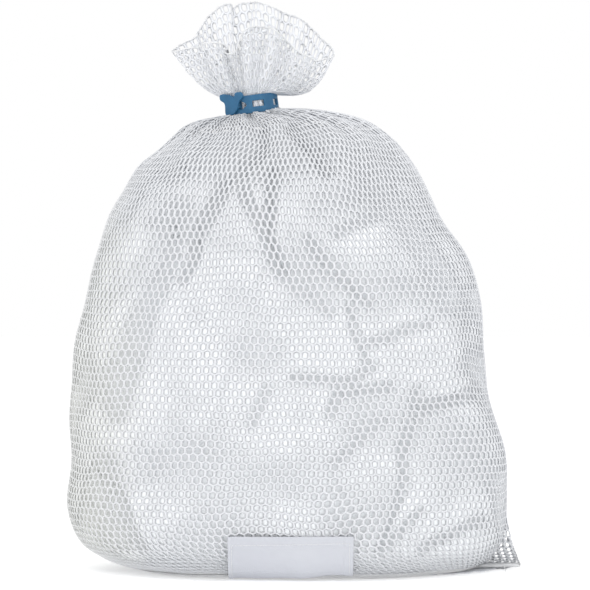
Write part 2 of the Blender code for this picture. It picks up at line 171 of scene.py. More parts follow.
def overlap_inset(degrees):
    """How far inside the strap's outer line the band runs, at these angles."""
    degrees = np.asarray(degrees, float) % 360.0
    into = smooth_step(degrees, 150.0, 185.0)
    out = 1.0 - smooth_step(degrees, 245.0, 265.0)
    return STRAP_OVERLAP_INSET * into * out


def in_strap_frame(local):
    """Points given in the strap's frame, in the model's frame."""
    matrix = np.array(STRAP_FRAME)
    return local @ matrix[:3, :3].T + matrix[:3, 3]


def strap_points(degrees, height, inset=0.0):
    angle = np.radians(degrees)
    across = (STRAP_HALF_ACROSS - inset) * np.cos(angle)
    deep = (STRAP_HALF_DEEP - inset) * np.sin(angle)
    return in_strap_frame(np.stack(np.broadcast_arrays(across, deep, height), -1))


# The rim of the ruffle: angle round the neck in degrees, and the rim's place there.
RIM = (
    (0, 0.0410, 0.0040, 0.5130),
    (18, 0.0385, 0.0200, 0.5250),
    (34, 0.0320, 0.0310, 0.5335),
    (48, 0.0213, 0.0410, 0.5423),
    (62, 0.0096, 0.0470, 0.5530),
    (74, -0.0046, 0.0510, 0.5590),
    (84, -0.0160, 0.0530, 0.5630),
    (94, -0.0322, 0.0540, 0.5690),
    (102, -0.0424, 0.0540, 0.5716),
    (112, -0.0556, 0.0530, 0.5700),
    (119, -0.0612, 0.0520, 0.5655),
    (126, -0.0683, 0.0500, 0.5680),
    (134, -0.0759, 0.0470, 0.5668),
    (143, -0.0851, 0.0420, 0.5590),
    (155, -0.0970, 0.0300, 0.5400),
    (168, -0.1100, 0.0150, 0.5280),
    (180, -0.1230, 0.0020, 0.5165),
    (195, -0.1100, -0.0180, 0.5185),
    (212, -0.0922, -0.0350, 0.5206),
    (228, -0.0771, -0.0450, 0.5207),
    (240, -0.0644, -0.0450, 0.5160),
    (250, -0.0575, -0.0390, 0.5105),
    (258, -0.0535, -0.0440, 0.5225),
    (266, -0.0480, -0.0510, 0.5325),
    (276, -0.0352, -0.0540, 0.5375),
    (290, -0.0206, -0.0530, 0.5340),
    (304, -0.0083, -0.0500, 0.5239),
    (318, 0.0064, -0.0440, 0.5121),
    (333, 0.0230, -0.0320, 0.5055),
    (347, 0.0355, -0.0150, 0.5065),
)


def closed_curve(points, count):
    """Evenly stepped points on a closed smooth curve, stepped by the points' first column."""
    table = np.array(points)
    turn = np.zeros(table.shape[1])
    turn[0] = 360.0
    table = np.vstack((table[-1:] - turn, table, table[:2] + turn))
    wanted = np.arange(count) * 360.0 / count
    low = np.clip(np.searchsorted(table[:, 0], wanted, side="right") - 1, 1, len(table) - 3)
    t = ((wanted - table[low, 0]) / (table[low + 1, 0] - table[low, 0]))[:, None]
    return catmull_rom(*(table[low + i, 1:] for i in (-1, 0, 1, 2)), t)


# The empty corner at the bottom right: height, and how far right the net is pulled there.
EAR_OUTLINE = np.array((
    (0.0, 0.2080), (0.0008, 0.2120), (0.0040, 0.2265),
    (0.0130, 0.2240), (0.0330, 0.2158), (0.0580, 0.2105),
))
EAR_Y = -0.020
EAR_HALF_DEEP = 0.011
EAR_INNER = 0.1  # only points further right than this are pulled
EAR_FADE = (0.050, 0.062)  # the heights over which the pull ends

# The unevenness of the net, as (wavelength, seed, size), and its folds, as waves round the neck.
BULGES = ((0.17, 3, 0.0030), (0.075, 5, 0.0016))
SHOULDER_FOLDS = ((17, 0.6), (26, 0.5), (11, 0.4))
NECK_FOLDS = ((23, 0.7), (31, 0.5), (13, 0.3))
RUFFLE_FOLDS = ((7, 0.6), (10, 0.9), (15, 0.35))
RUFFLE_CRIMP = ((29, 0.7), (41, 0.5))
BELOW_NECK = (0.0, 0.012, 0.035, 0.080, 0.150)  # along the net, down from the strap
SHOULDER_DEPTHS = (0.0010, 0.0034, 0.0026, 0.0012, 0.0)  # how deep the folds are there
NECK_FOLD_DEPTH = 0.0009
FLARE = 0.0075
CRIMP = 0.0010
NET_BRIDGING = 2.2  # the net bridges a crease this many times as broadly as the cloth does
NET_SINK = 0.35  # the share of a crease's depth that the net sinks
NET_SINK_MOST = 0.012  # the deepest crease that it follows
LABEL_MIDDLE = -0.003
NECK_SPAN = (-0.0070, 0.0092)  # the heights of the gathered neck, in the strap's frame
NECK_INSET = 0.0030  # how far inside the strap's line the gathered net stays
SLOT_BULGE = 0.0022  # and how much less where it bulges into a slot
DROOP_DEPTH = 0.004  # how far the ruffle sags on its right


def fold_wave(angle, terms, seed):
    """Uneven folds round the neck: a sum of whole-number waves, from about -1 to 1."""
    random = np.random.default_rng(seed)
    total = np.zeros_like(angle)
    for number, size in terms:
        total += size * np.cos(number * angle + random.uniform(0, 2 * math.pi))
    return np.tanh(1.7 * total)


def surface_normals(rings):
    """The way out of the net at each point of a stack of closed rings."""
    around = np.roll(rings, -1, 1) - np.roll(rings, 1, 1)
    return unit(np.cross(around, np.gradient(rings, axis=0)))


def in_slots(degrees, heights):
    """1 where the gathered net bulges into the arm's slots, 0 away from them."""
    bulge = np.zeros_like(degrees)
    for low, high in SLOT_ANGLES:
        middle, half = (low + high) / 2 % 360.0, (high - low) / 2
        here = 1.0 - smooth_step(np.abs(degrees - middle), half * 0.4, half * 1.1)
        bulge = np.maximum(bulge, here)
    return bulge[None, :] * (1.0 - smooth_step(np.abs(heights), 0.0015, 0.0045))[:, None]


def base_rings():
    """The rings of the whole net, from the floor to the rim, before its folds and bulges."""
    angle = np.arange(ANGLES) * 2 * math.pi / ANGLES
    degrees = np.degrees(angle)
    body_k = np.linspace(0.0, TOP_STATION, BODY_LEVELS)
    body = bag_points(angle[None, :], body_k[:, None])
    heights = np.linspace(*NECK_SPAN, NECK_LEVELS)
    bulging = SLOT_BULGE * in_slots(degrees, heights)
    inset = NECK_INSET + overlap_inset(degrees)[None, :] - bulging
    neck = strap_points(degrees[None, :], heights[:, None], inset)

    share = np.linspace(0.0, 1.0, RUFFLE_LEVELS + 1)[1:, None]
    foot = neck[-1]
    rim = closed_curve(RIM, ANGLES)
    droop = np.exp(-(((degrees + 180.0) % 360.0 - 190.0) / 38.0) ** 2)[None, :]  # at its right
    left_side = np.exp(-(((degrees - 180.0) / 50.0) ** 2))[None, :]
    side = np.cos(angle)[None, :] ** 2
    reach = share ** (0.88 - 0.20 * side)
    climb = share ** (1.0 + 1.4 * droop + 0.30 * left_side)
    x = foot[:, 0] + (rim[:, 0] - foot[:, 0]) * reach
    y = foot[:, 1] + (rim[:, 1] - foot[:, 1]) * reach
    z = foot[:, 2] + (rim[:, 2] - foot[:, 2]) * climb
    z -= DROOP_DEPTH * droop * np.sin(math.pi * share)
    return np.concatenate((body, neck, np.stack((x, y, z), -1))), angle


def ease_joins(rings):
    """Rounds the stack where the body turns into the neck and the neck into the ruffle."""
    start, stop = BODY_LEVELS - 6, BODY_LEVELS + NECK_LEVELS + 8
    for _ in range(6):
        beside = rings[start - 1 : stop - 1] + 2 * rings[start:stop] + rings[start + 1 : stop + 1]
        rings[start:stop] = beside / 4
    return rings


def net_surface():
    """The whole net's surface as a stack of rings, and the displacement of the body's rings."""
    rings, angle = base_rings()
    rings = ease_joins(rings)
    normals = surface_normals(rings)
    steps = np.linalg.norm(np.diff(rings, axis=0), axis=2).mean(1)
    length = np.concatenate(((0.0,), np.cumsum(steps)))
    below_neck = length[BODY_LEVELS] - length
    level = np.arange(len(rings))
    ruffle_share = np.clip((level - BODY_LEVELS - NECK_LEVELS + 1) / RUFFLE_LEVELS, 0.0, 1.0)
    in_neck = (level >= BODY_LEVELS) & (ruffle_share == 0.0)

    bulge = sum(size * waves(rings, wavelength, seed) for wavelength, seed, size in BULGES)
    height = rings[:, :, 2]
    calm = smooth_step(height, 0.015, 0.10) * smooth_step(below_neck, 0.0, 0.10)[:, None]
    from_label = np.abs(rings[:, :, 0] - LABEL_MIDDLE)
    under_label = (1.0 - smooth_step(from_label, 0.058, 0.085)) * (rings[:, :, 1] < 0.0)
    under_label *= 1.0 - smooth_step(height, 0.050, 0.075)
    bulge *= (0.25 + 0.75 * calm) * (1.0 - under_label)
    sunk = crease_depth(rings.reshape(-1, 3), NET_BRIDGING).reshape(rings.shape[:2])
    bulge -= NET_SINK * np.minimum(sunk, NET_SINK_MOST) * (1.0 - under_label)
    bulge[BODY_LEVELS:] = 0.0

    shoulder = np.interp(below_neck, BELOW_NECK, SHOULDER_DEPTHS)
    shoulder[BODY_LEVELS:] = 0.0
    fine = fold_wave(angle, SHOULDER_FOLDS, 11)
    tight = fold_wave(angle, NECK_FOLDS, 12)
    wide = fold_wave(angle, RUFFLE_FOLDS, 13)
    crimp = fold_wave(angle, RUFFLE_CRIMP, 14)
    from_left = np.degrees(angle) - 180.0
    from_right = (from_left - 12.0) % 360.0 - 180.0
    tips = np.exp(-((from_left / 11.0) ** 2)) + np.exp(-((from_right / 24.0) ** 2))
    wide = 1.0 + (wide - 1.0) * (1.0 - 0.9 * tips)  # the ruffle's left and right tips stay out

    gathered = np.where(in_neck, NECK_FOLD_DEPTH, 0.0)
    flare = FLARE * ruffle_share**0.8
    ripple = CRIMP * np.sin(math.pi * ruffle_share) * (1.0 - ruffle_share)
    moved = bulge + shoulder[:, None] * fine[None, :] + gathered[:, None] * tight[None, :]
    folded = flare[:, None] * (wide[None, :] - 1.0) + ripple[:, None] * crimp[None, :]
    sideways = unit(normals * (1.0, 1.0, 0.0))
    rings = rings + normals * moved[:, :, None] + sideways * folded[:, :, None]
    rings = pull_ear(rings)
    rings[:, :, 2] = np.maximum(rings[:, :, 2], FLOOR_LIFT)
    return rings, moved[:BODY_LEVELS]


def pull_ear(rings):
    """Pulls the bottom right corner out to a flat, empty ear."""
    x, y, z = np.moveaxis(rings, -1, 0)
    reach = np.interp(z, EAR_OUTLINE[:, 0], EAR_OUTLINE[:, 1])
    share = np.clip(1.0 - np.abs(y - EAR_Y) / EAR_HALF_DEEP, 0.0, 1.0) ** 1.5
    share = share * (x > EAR_INNER) * (1.0 - smooth_step(z, *EAR_FADE))
    rings[:, :, 0] = x + (np.maximum(reach, x) - x) * share
    return rings


class Lattice:
    """A surface of the net with even columns, and its rows of knitted cells."""

    def __init__(self, rings, columns):
        self.columns = columns
        closed = np.concatenate((rings, rings[:, :1]), 1)
        steps = np.linalg.norm(np.diff(closed, axis=1), axis=2)
        self.round = steps.sum(1)
        along = np.concatenate((np.zeros((len(rings), 1)), np.cumsum(steps, 1)), 1)
        share = self.settle(along / self.round[:, None])
        even = np.arange(EVEN_COLUMNS) / EVEN_COLUMNS
        table = [
            [np.interp(even, s, ring[:, i]) for i in range(3)] for s, ring in zip(share, closed)
        ]
        self.table = np.moveaxis(np.array(table), 1, 2)
        self.normals = surface_normals(self.table)
        climbs = np.linalg.norm(np.diff(self.table, axis=0), axis=2).mean(1)
        self.height = np.concatenate(((0.0,), np.cumsum(climbs)))

    @staticmethod
    def settle(share):
        """Keeps the columns from jumping sideways between one ring and the next."""
        for _ in range(12):
            share[1:-1] = (share[:-2] + 2 * share[1:-1] + share[2:]) / 4
        return share

    def level_at(self, height):
        return np.interp(height, self.height, np.arange(len(self.height)))

    def width_at(self, height):
        return np.interp(height, self.height, self.round) / self.columns

    def sample(self, table, u, height):
        level = np.clip(self.level_at(height), 0.0, len(table) - 1.001)
        row = level.astype(int)
        up = (level - row)[..., None]
        column = (u % 1.0) * EVEN_COLUMNS
        left = column.astype(int)
        over = (column - left)[..., None]
        left %= EVEN_COLUMNS
        right = (left + 1) % EVEN_COLUMNS
        low = table[row, left] * (1 - over) + table[row, right] * over
        high = table[row + 1, left] * (1 - over) + table[row + 1, right] * over
        return low * (1 - up) + high * up

    def place(self, u, height, lift):
        """Points on the net, lifted off its middle by this much."""
        u, height = self.drift(u, height)
        return self.sample(self.table, u, height) + self.sample(self.normals, u, height) * lift

    def drift(self, u, height):
        """The small unevenness of a soft net: columns lean and rows wave a little."""
        random = np.random.default_rng(21)
        fade = smooth_step(height, 0.0, 0.03) * smooth_step(self.height[-1] - height, 0.0, 0.02)
        sideways = np.zeros_like(u)
        upward = np.zeros_like(u)
        for _ in range(DRIFT_WAVES):
            turns = random.integers(2, 15)
            slope = random.uniform(-60.0, 60.0)
            phase, other = random.uniform(0, 2 * math.pi, 2)
            sideways += np.cos(2 * math.pi * turns * u + slope * height + phase)
            upward += np.cos(2 * math.pi * turns * u - slope * height + other)
        return u + fade * sideways * LEAN / self.columns, height + fade * upward * ROW_WAVE

    def rows(self):
        """The height of each row's cell centres along the net."""
        at, found = FIRST_ROW, []
        while at < self.height[-1] - FIRST_ROW:
            found.append(at)
            at += CELL_SIDE + self.slant(self.width_at(at))
        return np.array(found) * (self.height[-1] - 0.0050) / found[-1]  # the last meets the edge

    @staticmethod
    def slant(width):
        """How high a cell's slanted side climbs in a cell of this width."""
        return np.sqrt(np.maximum(CELL_SIDE**2 - (width / 2) ** 2, (0.25 * CELL_SIDE) ** 2))


def knit(lattice, row_heights):
    """The knit's points and faces: rhombic bars round each cell, sharing the ridges between cells.

    Gives the points, each point's place in the flat net, each cell's upper faces, lower faces and
    edges, and how many ridge points there are on a side.
    """
    count = len(row_heights)
    columns = lattice.columns
    column = np.arange(columns)
    gaps = np.diff(row_heights)
    gaps = np.concatenate((gaps[:1], gaps, gaps[-1:]))
    outer = np.concatenate((row_heights[:1] - gaps[0], row_heights, row_heights[-1:] + gaps[-1]))
    odd = ((np.arange(count + 2) + 1) % 2) * 0.5
    width = lattice.width_at(outer)
    slant = lattice.slant(width)
    part = (CELL_SIDE / 2 + slant) / (CELL_SIDE + slant)
    gap_below = np.concatenate((gaps[:1], gaps))
    gap_above = np.concatenate((gaps, gaps[-1:]))

    centre_u = (column[None, :] + odd[:, None]) / columns
    low_h = np.broadcast_to((outer - part * gap_below)[:, None], centre_u.shape)
    high_h = np.broadcast_to((outer + part * gap_above)[:, None], centre_u.shape)
    ridge_u = np.stack((centre_u, centre_u), -1).reshape(-1)
    ridge_h = np.stack((low_h, high_h), -1).reshape(-1)
    ridges = len(ridge_u)

    # The hole of each cell, in metres from its centre, clockwise from the top.
    w, d, s = width[1:-1], slant[1:-1], CELL_SIDE
    bar = np.minimum(BAR_HALF, BAR_SHARE * w)
    lean = np.sqrt((w / 2) ** 2 + d**2) / (w / 2)
    drop = np.minimum(DIAGONAL_HALF * lean, 0.45 * s)
    side_y = np.maximum(s / 2 + d * bar / (w / 2) - drop, 0.12 * s)
    top_y = np.maximum(s / 2 + d - 1.35 * drop, side_y * 1.05)
    side_x = w / 2 - bar
    zero = np.zeros_like(w)
    hole_x = np.stack((zero, side_x, side_x, zero, -side_x, -side_x), -1)
    hole_y = np.stack((top_y, side_y, -side_y, -top_y, -side_y, side_y), -1)
    hole_u = centre_u[1:-1, :, None] + hole_x[:, None, :] / (w * columns)[:, None, None]
    hole_h = row_heights[:, None, None] + hole_y[:, None, :] + 0.0 * hole_u

    flat_u = np.concatenate((ridge_u, ridge_u, hole_u.reshape(-1)))
    flat_h = np.concatenate((ridge_h, ridge_h, hole_h.reshape(-1)))
    lift = np.repeat((RIDGE, -RIDGE, 0.0), (ridges, ridges, hole_u.size))
    points = lattice.place(flat_u, flat_h, lift[:, None])

    row = np.arange(count)[:, None] + 1
    parity = (odd[1:-1] * 2).astype(int)[:, None]

    def low(r, j):
        return (r * columns + j % columns) * 2

    right = column[None, :] + parity
    left = right - 1
    here = column[None, :] + 0 * row
    around = ((row, here, 1), (row + 1, right, 0), (row - 1, right, 1))
    around += ((row, here, 0), (row - 1, left, 1), (row + 1, left, 0))
    corners = np.stack([low(r, j) + top for r, j, top in around], -1)
    holes = 2 * ridges + np.arange(count * columns * 6).reshape(count, columns, 6)
    after = np.roll(corners, -1, -1)
    holes_after = np.roll(holes, -1, -1)
    upper = np.stack((holes, holes_after, after, corners), -1)
    lower = np.stack((holes, corners + ridges, after + ridges, holes_after), -1)
    edges = np.stack((corners, after), -1)
    flat = np.stack((flat_u, flat_h), -1)
    return points, flat, upper, lower, edges, ridges


def new_object(name, data):
    made = bpy.data.objects.new(name, data)
    bpy.context.scene.collection.objects.link(made)
    return made


def object_from(bm, name):
    """An object from a bmesh, which is used up."""
    mesh = bpy.data.meshes.new(name)
    bm.to_mesh(mesh)
    bm.free()
    return new_object(name, mesh)


def mesh_object(name, points, faces):
    """An object of quads from arrays of points and faces."""
    mesh = bpy.data.meshes.new(name)
    mesh.vertices.add(len(points))
    mesh.vertices.foreach_set("co", np.asarray(points, np.float32).ravel())
    mesh.loops.add(faces.size)
    mesh.polygons.add(len(faces))
    starts = np.arange(0, faces.size, faces.shape[1], dtype=np.int32)
    mesh.polygons.foreach_set("loop_start", starts)
    mesh.polygons.foreach_set("vertices", faces.ravel().astype(np.int32))
    mesh.update(calc_edges=True)
    mesh.validate()
    mesh.shade_smooth()
    return new_object(name, mesh)


def knit_piece(name, knitted, chosen):
    """One piece of the net: the knit of the chosen cells, closed where it meets the next piece."""
    points, flat, upper, lower, edges, ridges = knitted
    columns = chosen.shape[1]
    u_centre = np.argwhere(chosen)[:, 1] / columns
    top, bottom, rim = (part[chosen] for part in (upper, lower, edges))
    rims = rim.reshape(-1, 2)
    keys = np.sort(rims, 1)
    keys = keys[:, 0].astype(np.int64) * (ridges + 1) + keys[:, 1]
    _, where, uses = np.unique(keys, return_inverse=True, return_counts=True)
    alone = uses[where] == 1
    first, second = rims[alone].T
    ends = np.stack((first, second, second + ridges, first + ridges), -1)
    faces = np.concatenate((top.reshape(-1, 4), bottom.reshape(-1, 4), ends))
    owner = np.repeat(u_centre, 6)
    owner = np.concatenate((owner, owner, owner[alone]))

    used, index = np.unique(faces, return_inverse=True)
    made = mesh_object(name, points[used], index.reshape(faces.shape))
    loop_flat = flat[faces.ravel()]
    loop_u = loop_flat[:, 0] + np.round(np.repeat(owner, 4) - loop_flat[:, 0])
    loop_h = loop_flat[:, 1]
    add_uv(made, "knit", loop_u * columns, loop_h / CELL_SIDE)
    spread_u = (loop_u - loop_u.min()) / np.ptp(loop_u)
    spread_h = (loop_h - loop_h.min()) / np.ptp(loop_h)
    add_uv(made, "OFBake", 0.005 + 0.99 * spread_u, 0.005 + 0.99 * spread_h)
    return made


def add_uv(made, name, u, v):
    layer = made.data.uv_layers.new(name=name)
    layer.data.foreach_set("uv", np.stack((u, v), -1).astype(np.float32).ravel())


# ------------------------ materials


class Look:
    """A Principled material and short ways to add the nodes of its pattern."""

    def __init__(self, name, roughness, **sockets):
        self.material = bpy.data.materials.new(name)
        self.material.use_nodes = True
        self.tree = self.material.node_tree
        self.shader = self.tree.nodes["Principled BSDF"]
        self.shader.inputs["Roughness"].default_value = roughness
        for socket, value in sockets.items():
            self.shader.inputs[socket.replace("_", " ")].default_value = value

    def node(self, kind, **settings):
        made = self.tree.nodes.new(kind)
        for name, value in settings.items():
            if name in made.inputs:
                made.inputs[name].default_value = value
            else:
                setattr(made, name, value)
        return made

    def link(self, output, target):
        self.tree.links.new(output, target)

    def coordinates(self, uv=None):
        if uv:
            return self.node("ShaderNodeUVMap", uv_map=uv).outputs["UV"]
        return self.node("ShaderNodeTexCoord").outputs["Object"]

    def noise(self, where, scale, detail=3.0, roughness=0.55):
        made = self.node("ShaderNodeTexNoise", Scale=scale, Detail=detail, Roughness=roughness)
        self.link(where, made.inputs["Vector"])
        return made.outputs["Fac"]

    def bands(self, where, scale, direction, distortion):
        made = self.node("ShaderNodeTexWave", Scale=scale, Distortion=distortion)
        made.bands_direction = direction
        self.link(where, made.inputs["Vector"])
        return made.outputs["Fac"]

    def ramp(self, value, *stops):
        made = self.node("ShaderNodeValToRGB")
        elements = made.color_ramp.elements
        while len(elements) < len(stops):
            elements.new(0.5)
        for element, (place, colour) in zip(elements, stops):
            element.position = place
            element.color = (*colour, 1.0)
        self.link(value, made.inputs["Fac"])
        return made.outputs["Color"]

    def shade_and_blotches(self, where, scale):
        """Painted shade, 0 at the bag's left edge to 1 over most of it, with soft random blotches."""
        apart = self.node("ShaderNodeSeparateXYZ")
        self.link(where, apart.inputs["Vector"])
        across = self.node("ShaderNodeMapRange")
        # Painted shade: the low values at the bag's left edge give the greyer colour of a less lit
        # side.
        left_edge, inner, least, most = -0.235, -0.110, 0.05, 0.70
        across.inputs["From Min"].default_value = left_edge
        across.inputs["From Max"].default_value = inner
        across.inputs["To Min"].default_value = least
        across.inputs["To Max"].default_value = most
        self.link(apart.outputs["X"], across.inputs["Value"])
        blotches = self.node("ShaderNodeMath", operation="MULTIPLY")
        blotches.inputs[1].default_value = 0.45
        self.link(self.noise(where, scale, 2.0), blotches.inputs[0])
        both = self.node("ShaderNodeMath", operation="ADD")
        self.link(across.outputs["Result"], both.inputs[0])
        self.link(blotches.outputs["Value"], both.inputs[1])
        return both.outputs["Value"]

    def colour(self, output):
        self.link(output, self.shader.inputs["Base Color"])

    def roughness(self, value, low, high):
        made = self.node("ShaderNodeMapRange")
        made.inputs["To Min"].default_value = low
        made.inputs["To Max"].default_value = high
        self.link(value, made.inputs["Value"])
        self.link(made.outputs["Result"], self.shader.inputs["Roughness"])

    def bump(self, *layers):
        """Bumps laid over each other, each as (height, distance in metres)."""
        normal = None
        for value, distance in layers:
            made = self.node("ShaderNodeBump", Strength=1.0, Distance=distance)
            self.link(value, made.inputs["Height"])
            if normal is not None:
                self.link(normal, made.inputs["Normal"])
            normal = made.outputs["Normal"]
        self.link(normal, self.shader.inputs["Normal"])


def net_look(name, whiteness):
    """White polyester warp knit: loops along each bar, fine fibres, a greyer painted shade to the
    left.
    """
    look = Look(name, 0.62, Sheen_Weight=0.25, Sheen_Roughness=0.45)
    where = look.coordinates()
    flat = look.coordinates(uv="knit")
    loops = look.bands(flat, 1.45, "Y", 1.2)
    fibres = look.noise(where, 2600.0, 2.0)
    # The grey is painted shade at the bag's left edge; the blue is the knit's own bluish white over
    # the rest.
    left_shade_grey = tuple(whiteness * part for part in (0.990, 1.0, 0.985))
    blue = tuple(whiteness * part for part in (0.983, 1.0, 1.040))
    look.colour(look.ramp(look.shade_and_blotches(where, 9.0), (0.25, left_shade_grey), (0.75, blue)))
    look.roughness(fibres, 0.52, 0.74)
    look.bump((loops, 0.00022), (fibres, 0.00010))
    return look.material


def thread_look():
    """Overlock and lockstitch thread: twisted, matt and a touch warmer than the net."""
    look = Look("thread", 0.66, Sheen_Weight=0.2, Sheen_Roughness=0.4)
    where = look.coordinates()
    twist = look.bands(where, 420.0, "DIAGONAL", 0.6)
    fibres = look.noise(where, 3200.0, 2.0)
    tone = look.noise(where, 60.0, 2.0)
    look.colour(look.ramp(tone, (0.3, (0.760, 0.768, 0.780)), (0.7, (0.820, 0.826, 0.835))))
    look.roughness(fibres, 0.55, 0.78)
    look.bump((twist, 0.00010), (fibres, 0.00006))
    return look.material


def laundry_look(name, shade, seed):
    """White cotton: a fine plain weave, soft nap, faint random blotches and a warmer painted shade to
    the left.
    """
    look = Look(name, 0.86, Sheen_Weight=0.15, Sheen_Roughness=0.5)
    plain = look.coordinates()
    moved = look.node("ShaderNodeMapping")
    moved.inputs["Location"].default_value = (seed * 0.37, seed * 0.11, seed * 0.23)
    look.link(plain, moved.inputs["Vector"])
    where = moved.outputs["Vector"]
    warp_threads = look.bands(where, 300.0, "X", 0.5)
    weft_threads = look.bands(where, 300.0, "Z", 0.5)
    nap = look.noise(where, 900.0, 4.0, 0.65)
    # Painted shade: warmer and greyer towards the bag's left edge, as on the net, with random
    # blotches.
    cloth_shade_and_blotches = look.shade_and_blotches(plain, 7.0)
    low = tuple(shade * part for part in (0.985, 0.995, 0.955))
    high = tuple(shade * part for part in (0.970, 0.990, 1.015))
    look.colour(look.ramp(cloth_shade_and_blotches, (0.3, low), (0.8, high)))
    look.roughness(nap, 0.80, 0.95)
    look.bump((nap, 0.00045), (warp_threads, 0.00010), (weft_threads, 0.00010))
    return look.material


def label_look():
    """A smooth, closely woven white patch with a fine twill line."""
    look = Look("label_twill", 0.70, Sheen_Weight=0.15, Sheen_Roughness=0.4)
    where = look.coordinates()
    twill = look.bands(where, 340.0, "DIAGONAL", 0.2)
    slubs = look.noise(where, 700.0, 3.0)
    tone = look.noise(where, 16.0, 2.0)
    look.colour(look.ramp(tone, (0.3, (0.540, 0.553, 0.600)), (0.7, (0.567, 0.580, 0.622))))
    look.roughness(slubs, 0.62, 0.80)
    look.bump((twill, 0.00006), (slubs, 0.00008))
    return look.material


def rubber_look():
    """Blue moulded rubber, satin, with a fine mould grain and paler rubbed patches."""
    look = Look("rubber", 0.45, Specular_IOR_Level=0.45)
    where = look.coordinates()
    grain = look.noise(where, 1500.0, 3.0)
    rubbed = look.noise(where, 130.0, 4.0, 0.6)
    deep, plain, pale = (0.015, 0.102, 0.215), (0.021, 0.124, 0.252), (0.048, 0.168, 0.300)
    look.colour(look.ramp(rubbed, (0.30, deep), (0.58, plain), (0.80, pale)))
    look.roughness(rubbed, 0.36, 0.56)
    look.bump((grain, 0.00008), (rubbed, 0.00012))
    return look.material


def give(piece, material):
    piece.data.materials.clear()
    piece.data.materials.append(material)


def dress(piece, material, body, slot, *nodes):
    """Gives a piece its material and the body it rides on, and hides the nodes it stands for; slot is
    not used.
    """
    give(piece, material)
    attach(piece, body)
    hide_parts(*nodes)
    return piece


# ------------------------ tubes, threads and flat strips


def ring_quads(lower, upper):
    """The quads between rings of point numbers and the rings after them."""
    corners = (lower, np.roll(lower, -1, 1), np.roll(upper, -1, 1), upper)
    return np.stack(corners, -1).reshape(-1, 4)


def closed_tube(index, ends):
    """The quads of a tube of rings, with the quads that close each end."""
    faces = ring_quads(index[:-1], index[1:])
    for ring, flip in ((index[0], True), (index[-1], False)):
        for quad in ends:
            corners = ring[list(quad)]
            faces = np.vstack((faces, corners[::-1] if flip else corners))
    return faces


def sweep(path, radius, sides=8, closed=False):
    """Points and quads of a round tube along a path; open tubes narrow to a small flat end."""
    path = np.asarray(path, float)
    if closed:
        tangents = np.roll(path, -1, 0) - np.roll(path, 1, 0)
    else:
        tangents = np.gradient(path, axis=0)
    tangents = unit(tangents)
    normal = unit(np.cross(tangents[0], (0.0, 0.3, 1.0)))
    frames = []
    for tangent in tangents:
        normal = unit(normal - tangent * (normal @ tangent))
        frames.append((normal, np.cross(tangent, normal)))
    normals, others = np.moveaxis(np.array(frames), 1, 0)[:, :, None, :]
    turn = (np.arange(sides) * 2 * math.pi / sides)[None, :, None]
    rings = path[:, None, :] + radius * (np.cos(turn) * normals + np.sin(turn) * others)
    if not closed:
        tips = [path[end] + (rings[end] - path[end]) * 0.3 for end in (0, -1)]
        rings = np.concatenate((tips[0][None], rings, tips[1][None]))
    count = len(rings)
    index = np.arange(count * sides).reshape(count, sides)
    if closed:
        return rings.reshape(-1, 3), ring_quads(index, np.roll(index, -1, 0))
    ends = [(0, i, i + 1, (i + 2) % sides) for i in range(1, sides - 1, 2)]
    return rings.reshape(-1, 3), closed_tube(index, ends)


def joined(name, parts):
    """One object from several (points, faces) shells."""
    points, faces, start = [], [], 0
    for some_points, some_faces in parts:
        points.append(some_points)
        faces.append(some_faces + start)
        start += len(some_points)
    return mesh_object(name, np.concatenate(points), np.concatenate(faces))


def face_outwards(piece):
    bm = bmesh.new()
    bm.from_mesh(piece.data)
    bmesh.ops.recalc_face_normals(bm, faces=bm.faces)
    bm.to_mesh(piece.data)
    bm.free()


def thread_piece(name, parts, look, node):
    """A piece of thread on the bag, of several shells, standing for this node."""
    made = joined(name, parts)
    face_outwards(made)
    return dress(made, look, "bag", "thread", node)


def raise_to(piece, clearance):
    """Lifts a piece, if it is lower than this above the floor."""
    lowest = mesh_points(piece)[:, 2].min()
    piece.data.transform(Matrix.Translation((0.0, 0.0, max(0.0, clearance - lowest))))


def coil_round(path, radius, pitch, per_turn=8, start=0.0):
    """A thread wound round a path."""
    path = np.asarray(path, float)
    steps = np.linalg.norm(np.diff(path, axis=0), axis=1)
    along = np.concatenate(((0.0,), np.cumsum(steps)))
    count = max(int(along[-1] / pitch * per_turn), 8)
    wanted = np.linspace(0.0, along[-1], count)
    centre = np.stack([np.interp(wanted, along, path[:, i]) for i in range(3)], -1)
    tangents = unit(np.gradient(centre, axis=0))
    side = unit(np.cross(tangents, (0.0, 0.4, 1.0)))
    other = np.cross(tangents, side)
    turn = (start + 2 * math.pi * wanted / pitch)[:, None]
    return centre + radius * (np.cos(turn) * side + np.sin(turn) * other)


# ------------------------ the net and its edges


def build_net(surface):
    """The knit in four pieces: front, back, foot, and the gathered neck with its ruffle."""
    look = net_look("net_knit", 0.775)
    body = Lattice(surface[: BODY_LEVELS + 4], COLUMNS)
    knitted = knit(body, body.rows())
    front = np.arange(COLUMNS) >= COLUMNS // 2
    every_row = np.ones((len(body.rows()), 1), bool)
    for made in (
        net_piece("net_front", knitted, every_row & front, look, "net_body"),
        net_piece("net_back", knitted, every_row & ~front, look, "net_body", "corner_ear"),
    ):
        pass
    build_foot(body, look)

    ruffle = Lattice(surface[BODY_LEVELS - 2 :], RUFFLE_COLUMNS)
    every_cell = np.ones((len(ruffle.rows()), RUFFLE_COLUMNS), bool)
    # The ruffle gets the body's knit painted much whiter: painted light, for light through its thin,
    # back-lit layers.
    backlit_look = net_look("net_knit_painted_backlight", 0.915)
    knitted = knit(ruffle, ruffle.rows())
    made = net_piece("net_ruffle_knit", knitted, every_cell, backlit_look, "net_ruffle", "net_neck")
    return body, ruffle


def net_piece(name, knitted, chosen, look, *nodes):
    return dress(knit_piece(name, knitted, chosen), look, "bag", "net_knit", *nodes)


FOOT_CELL = 0.0080


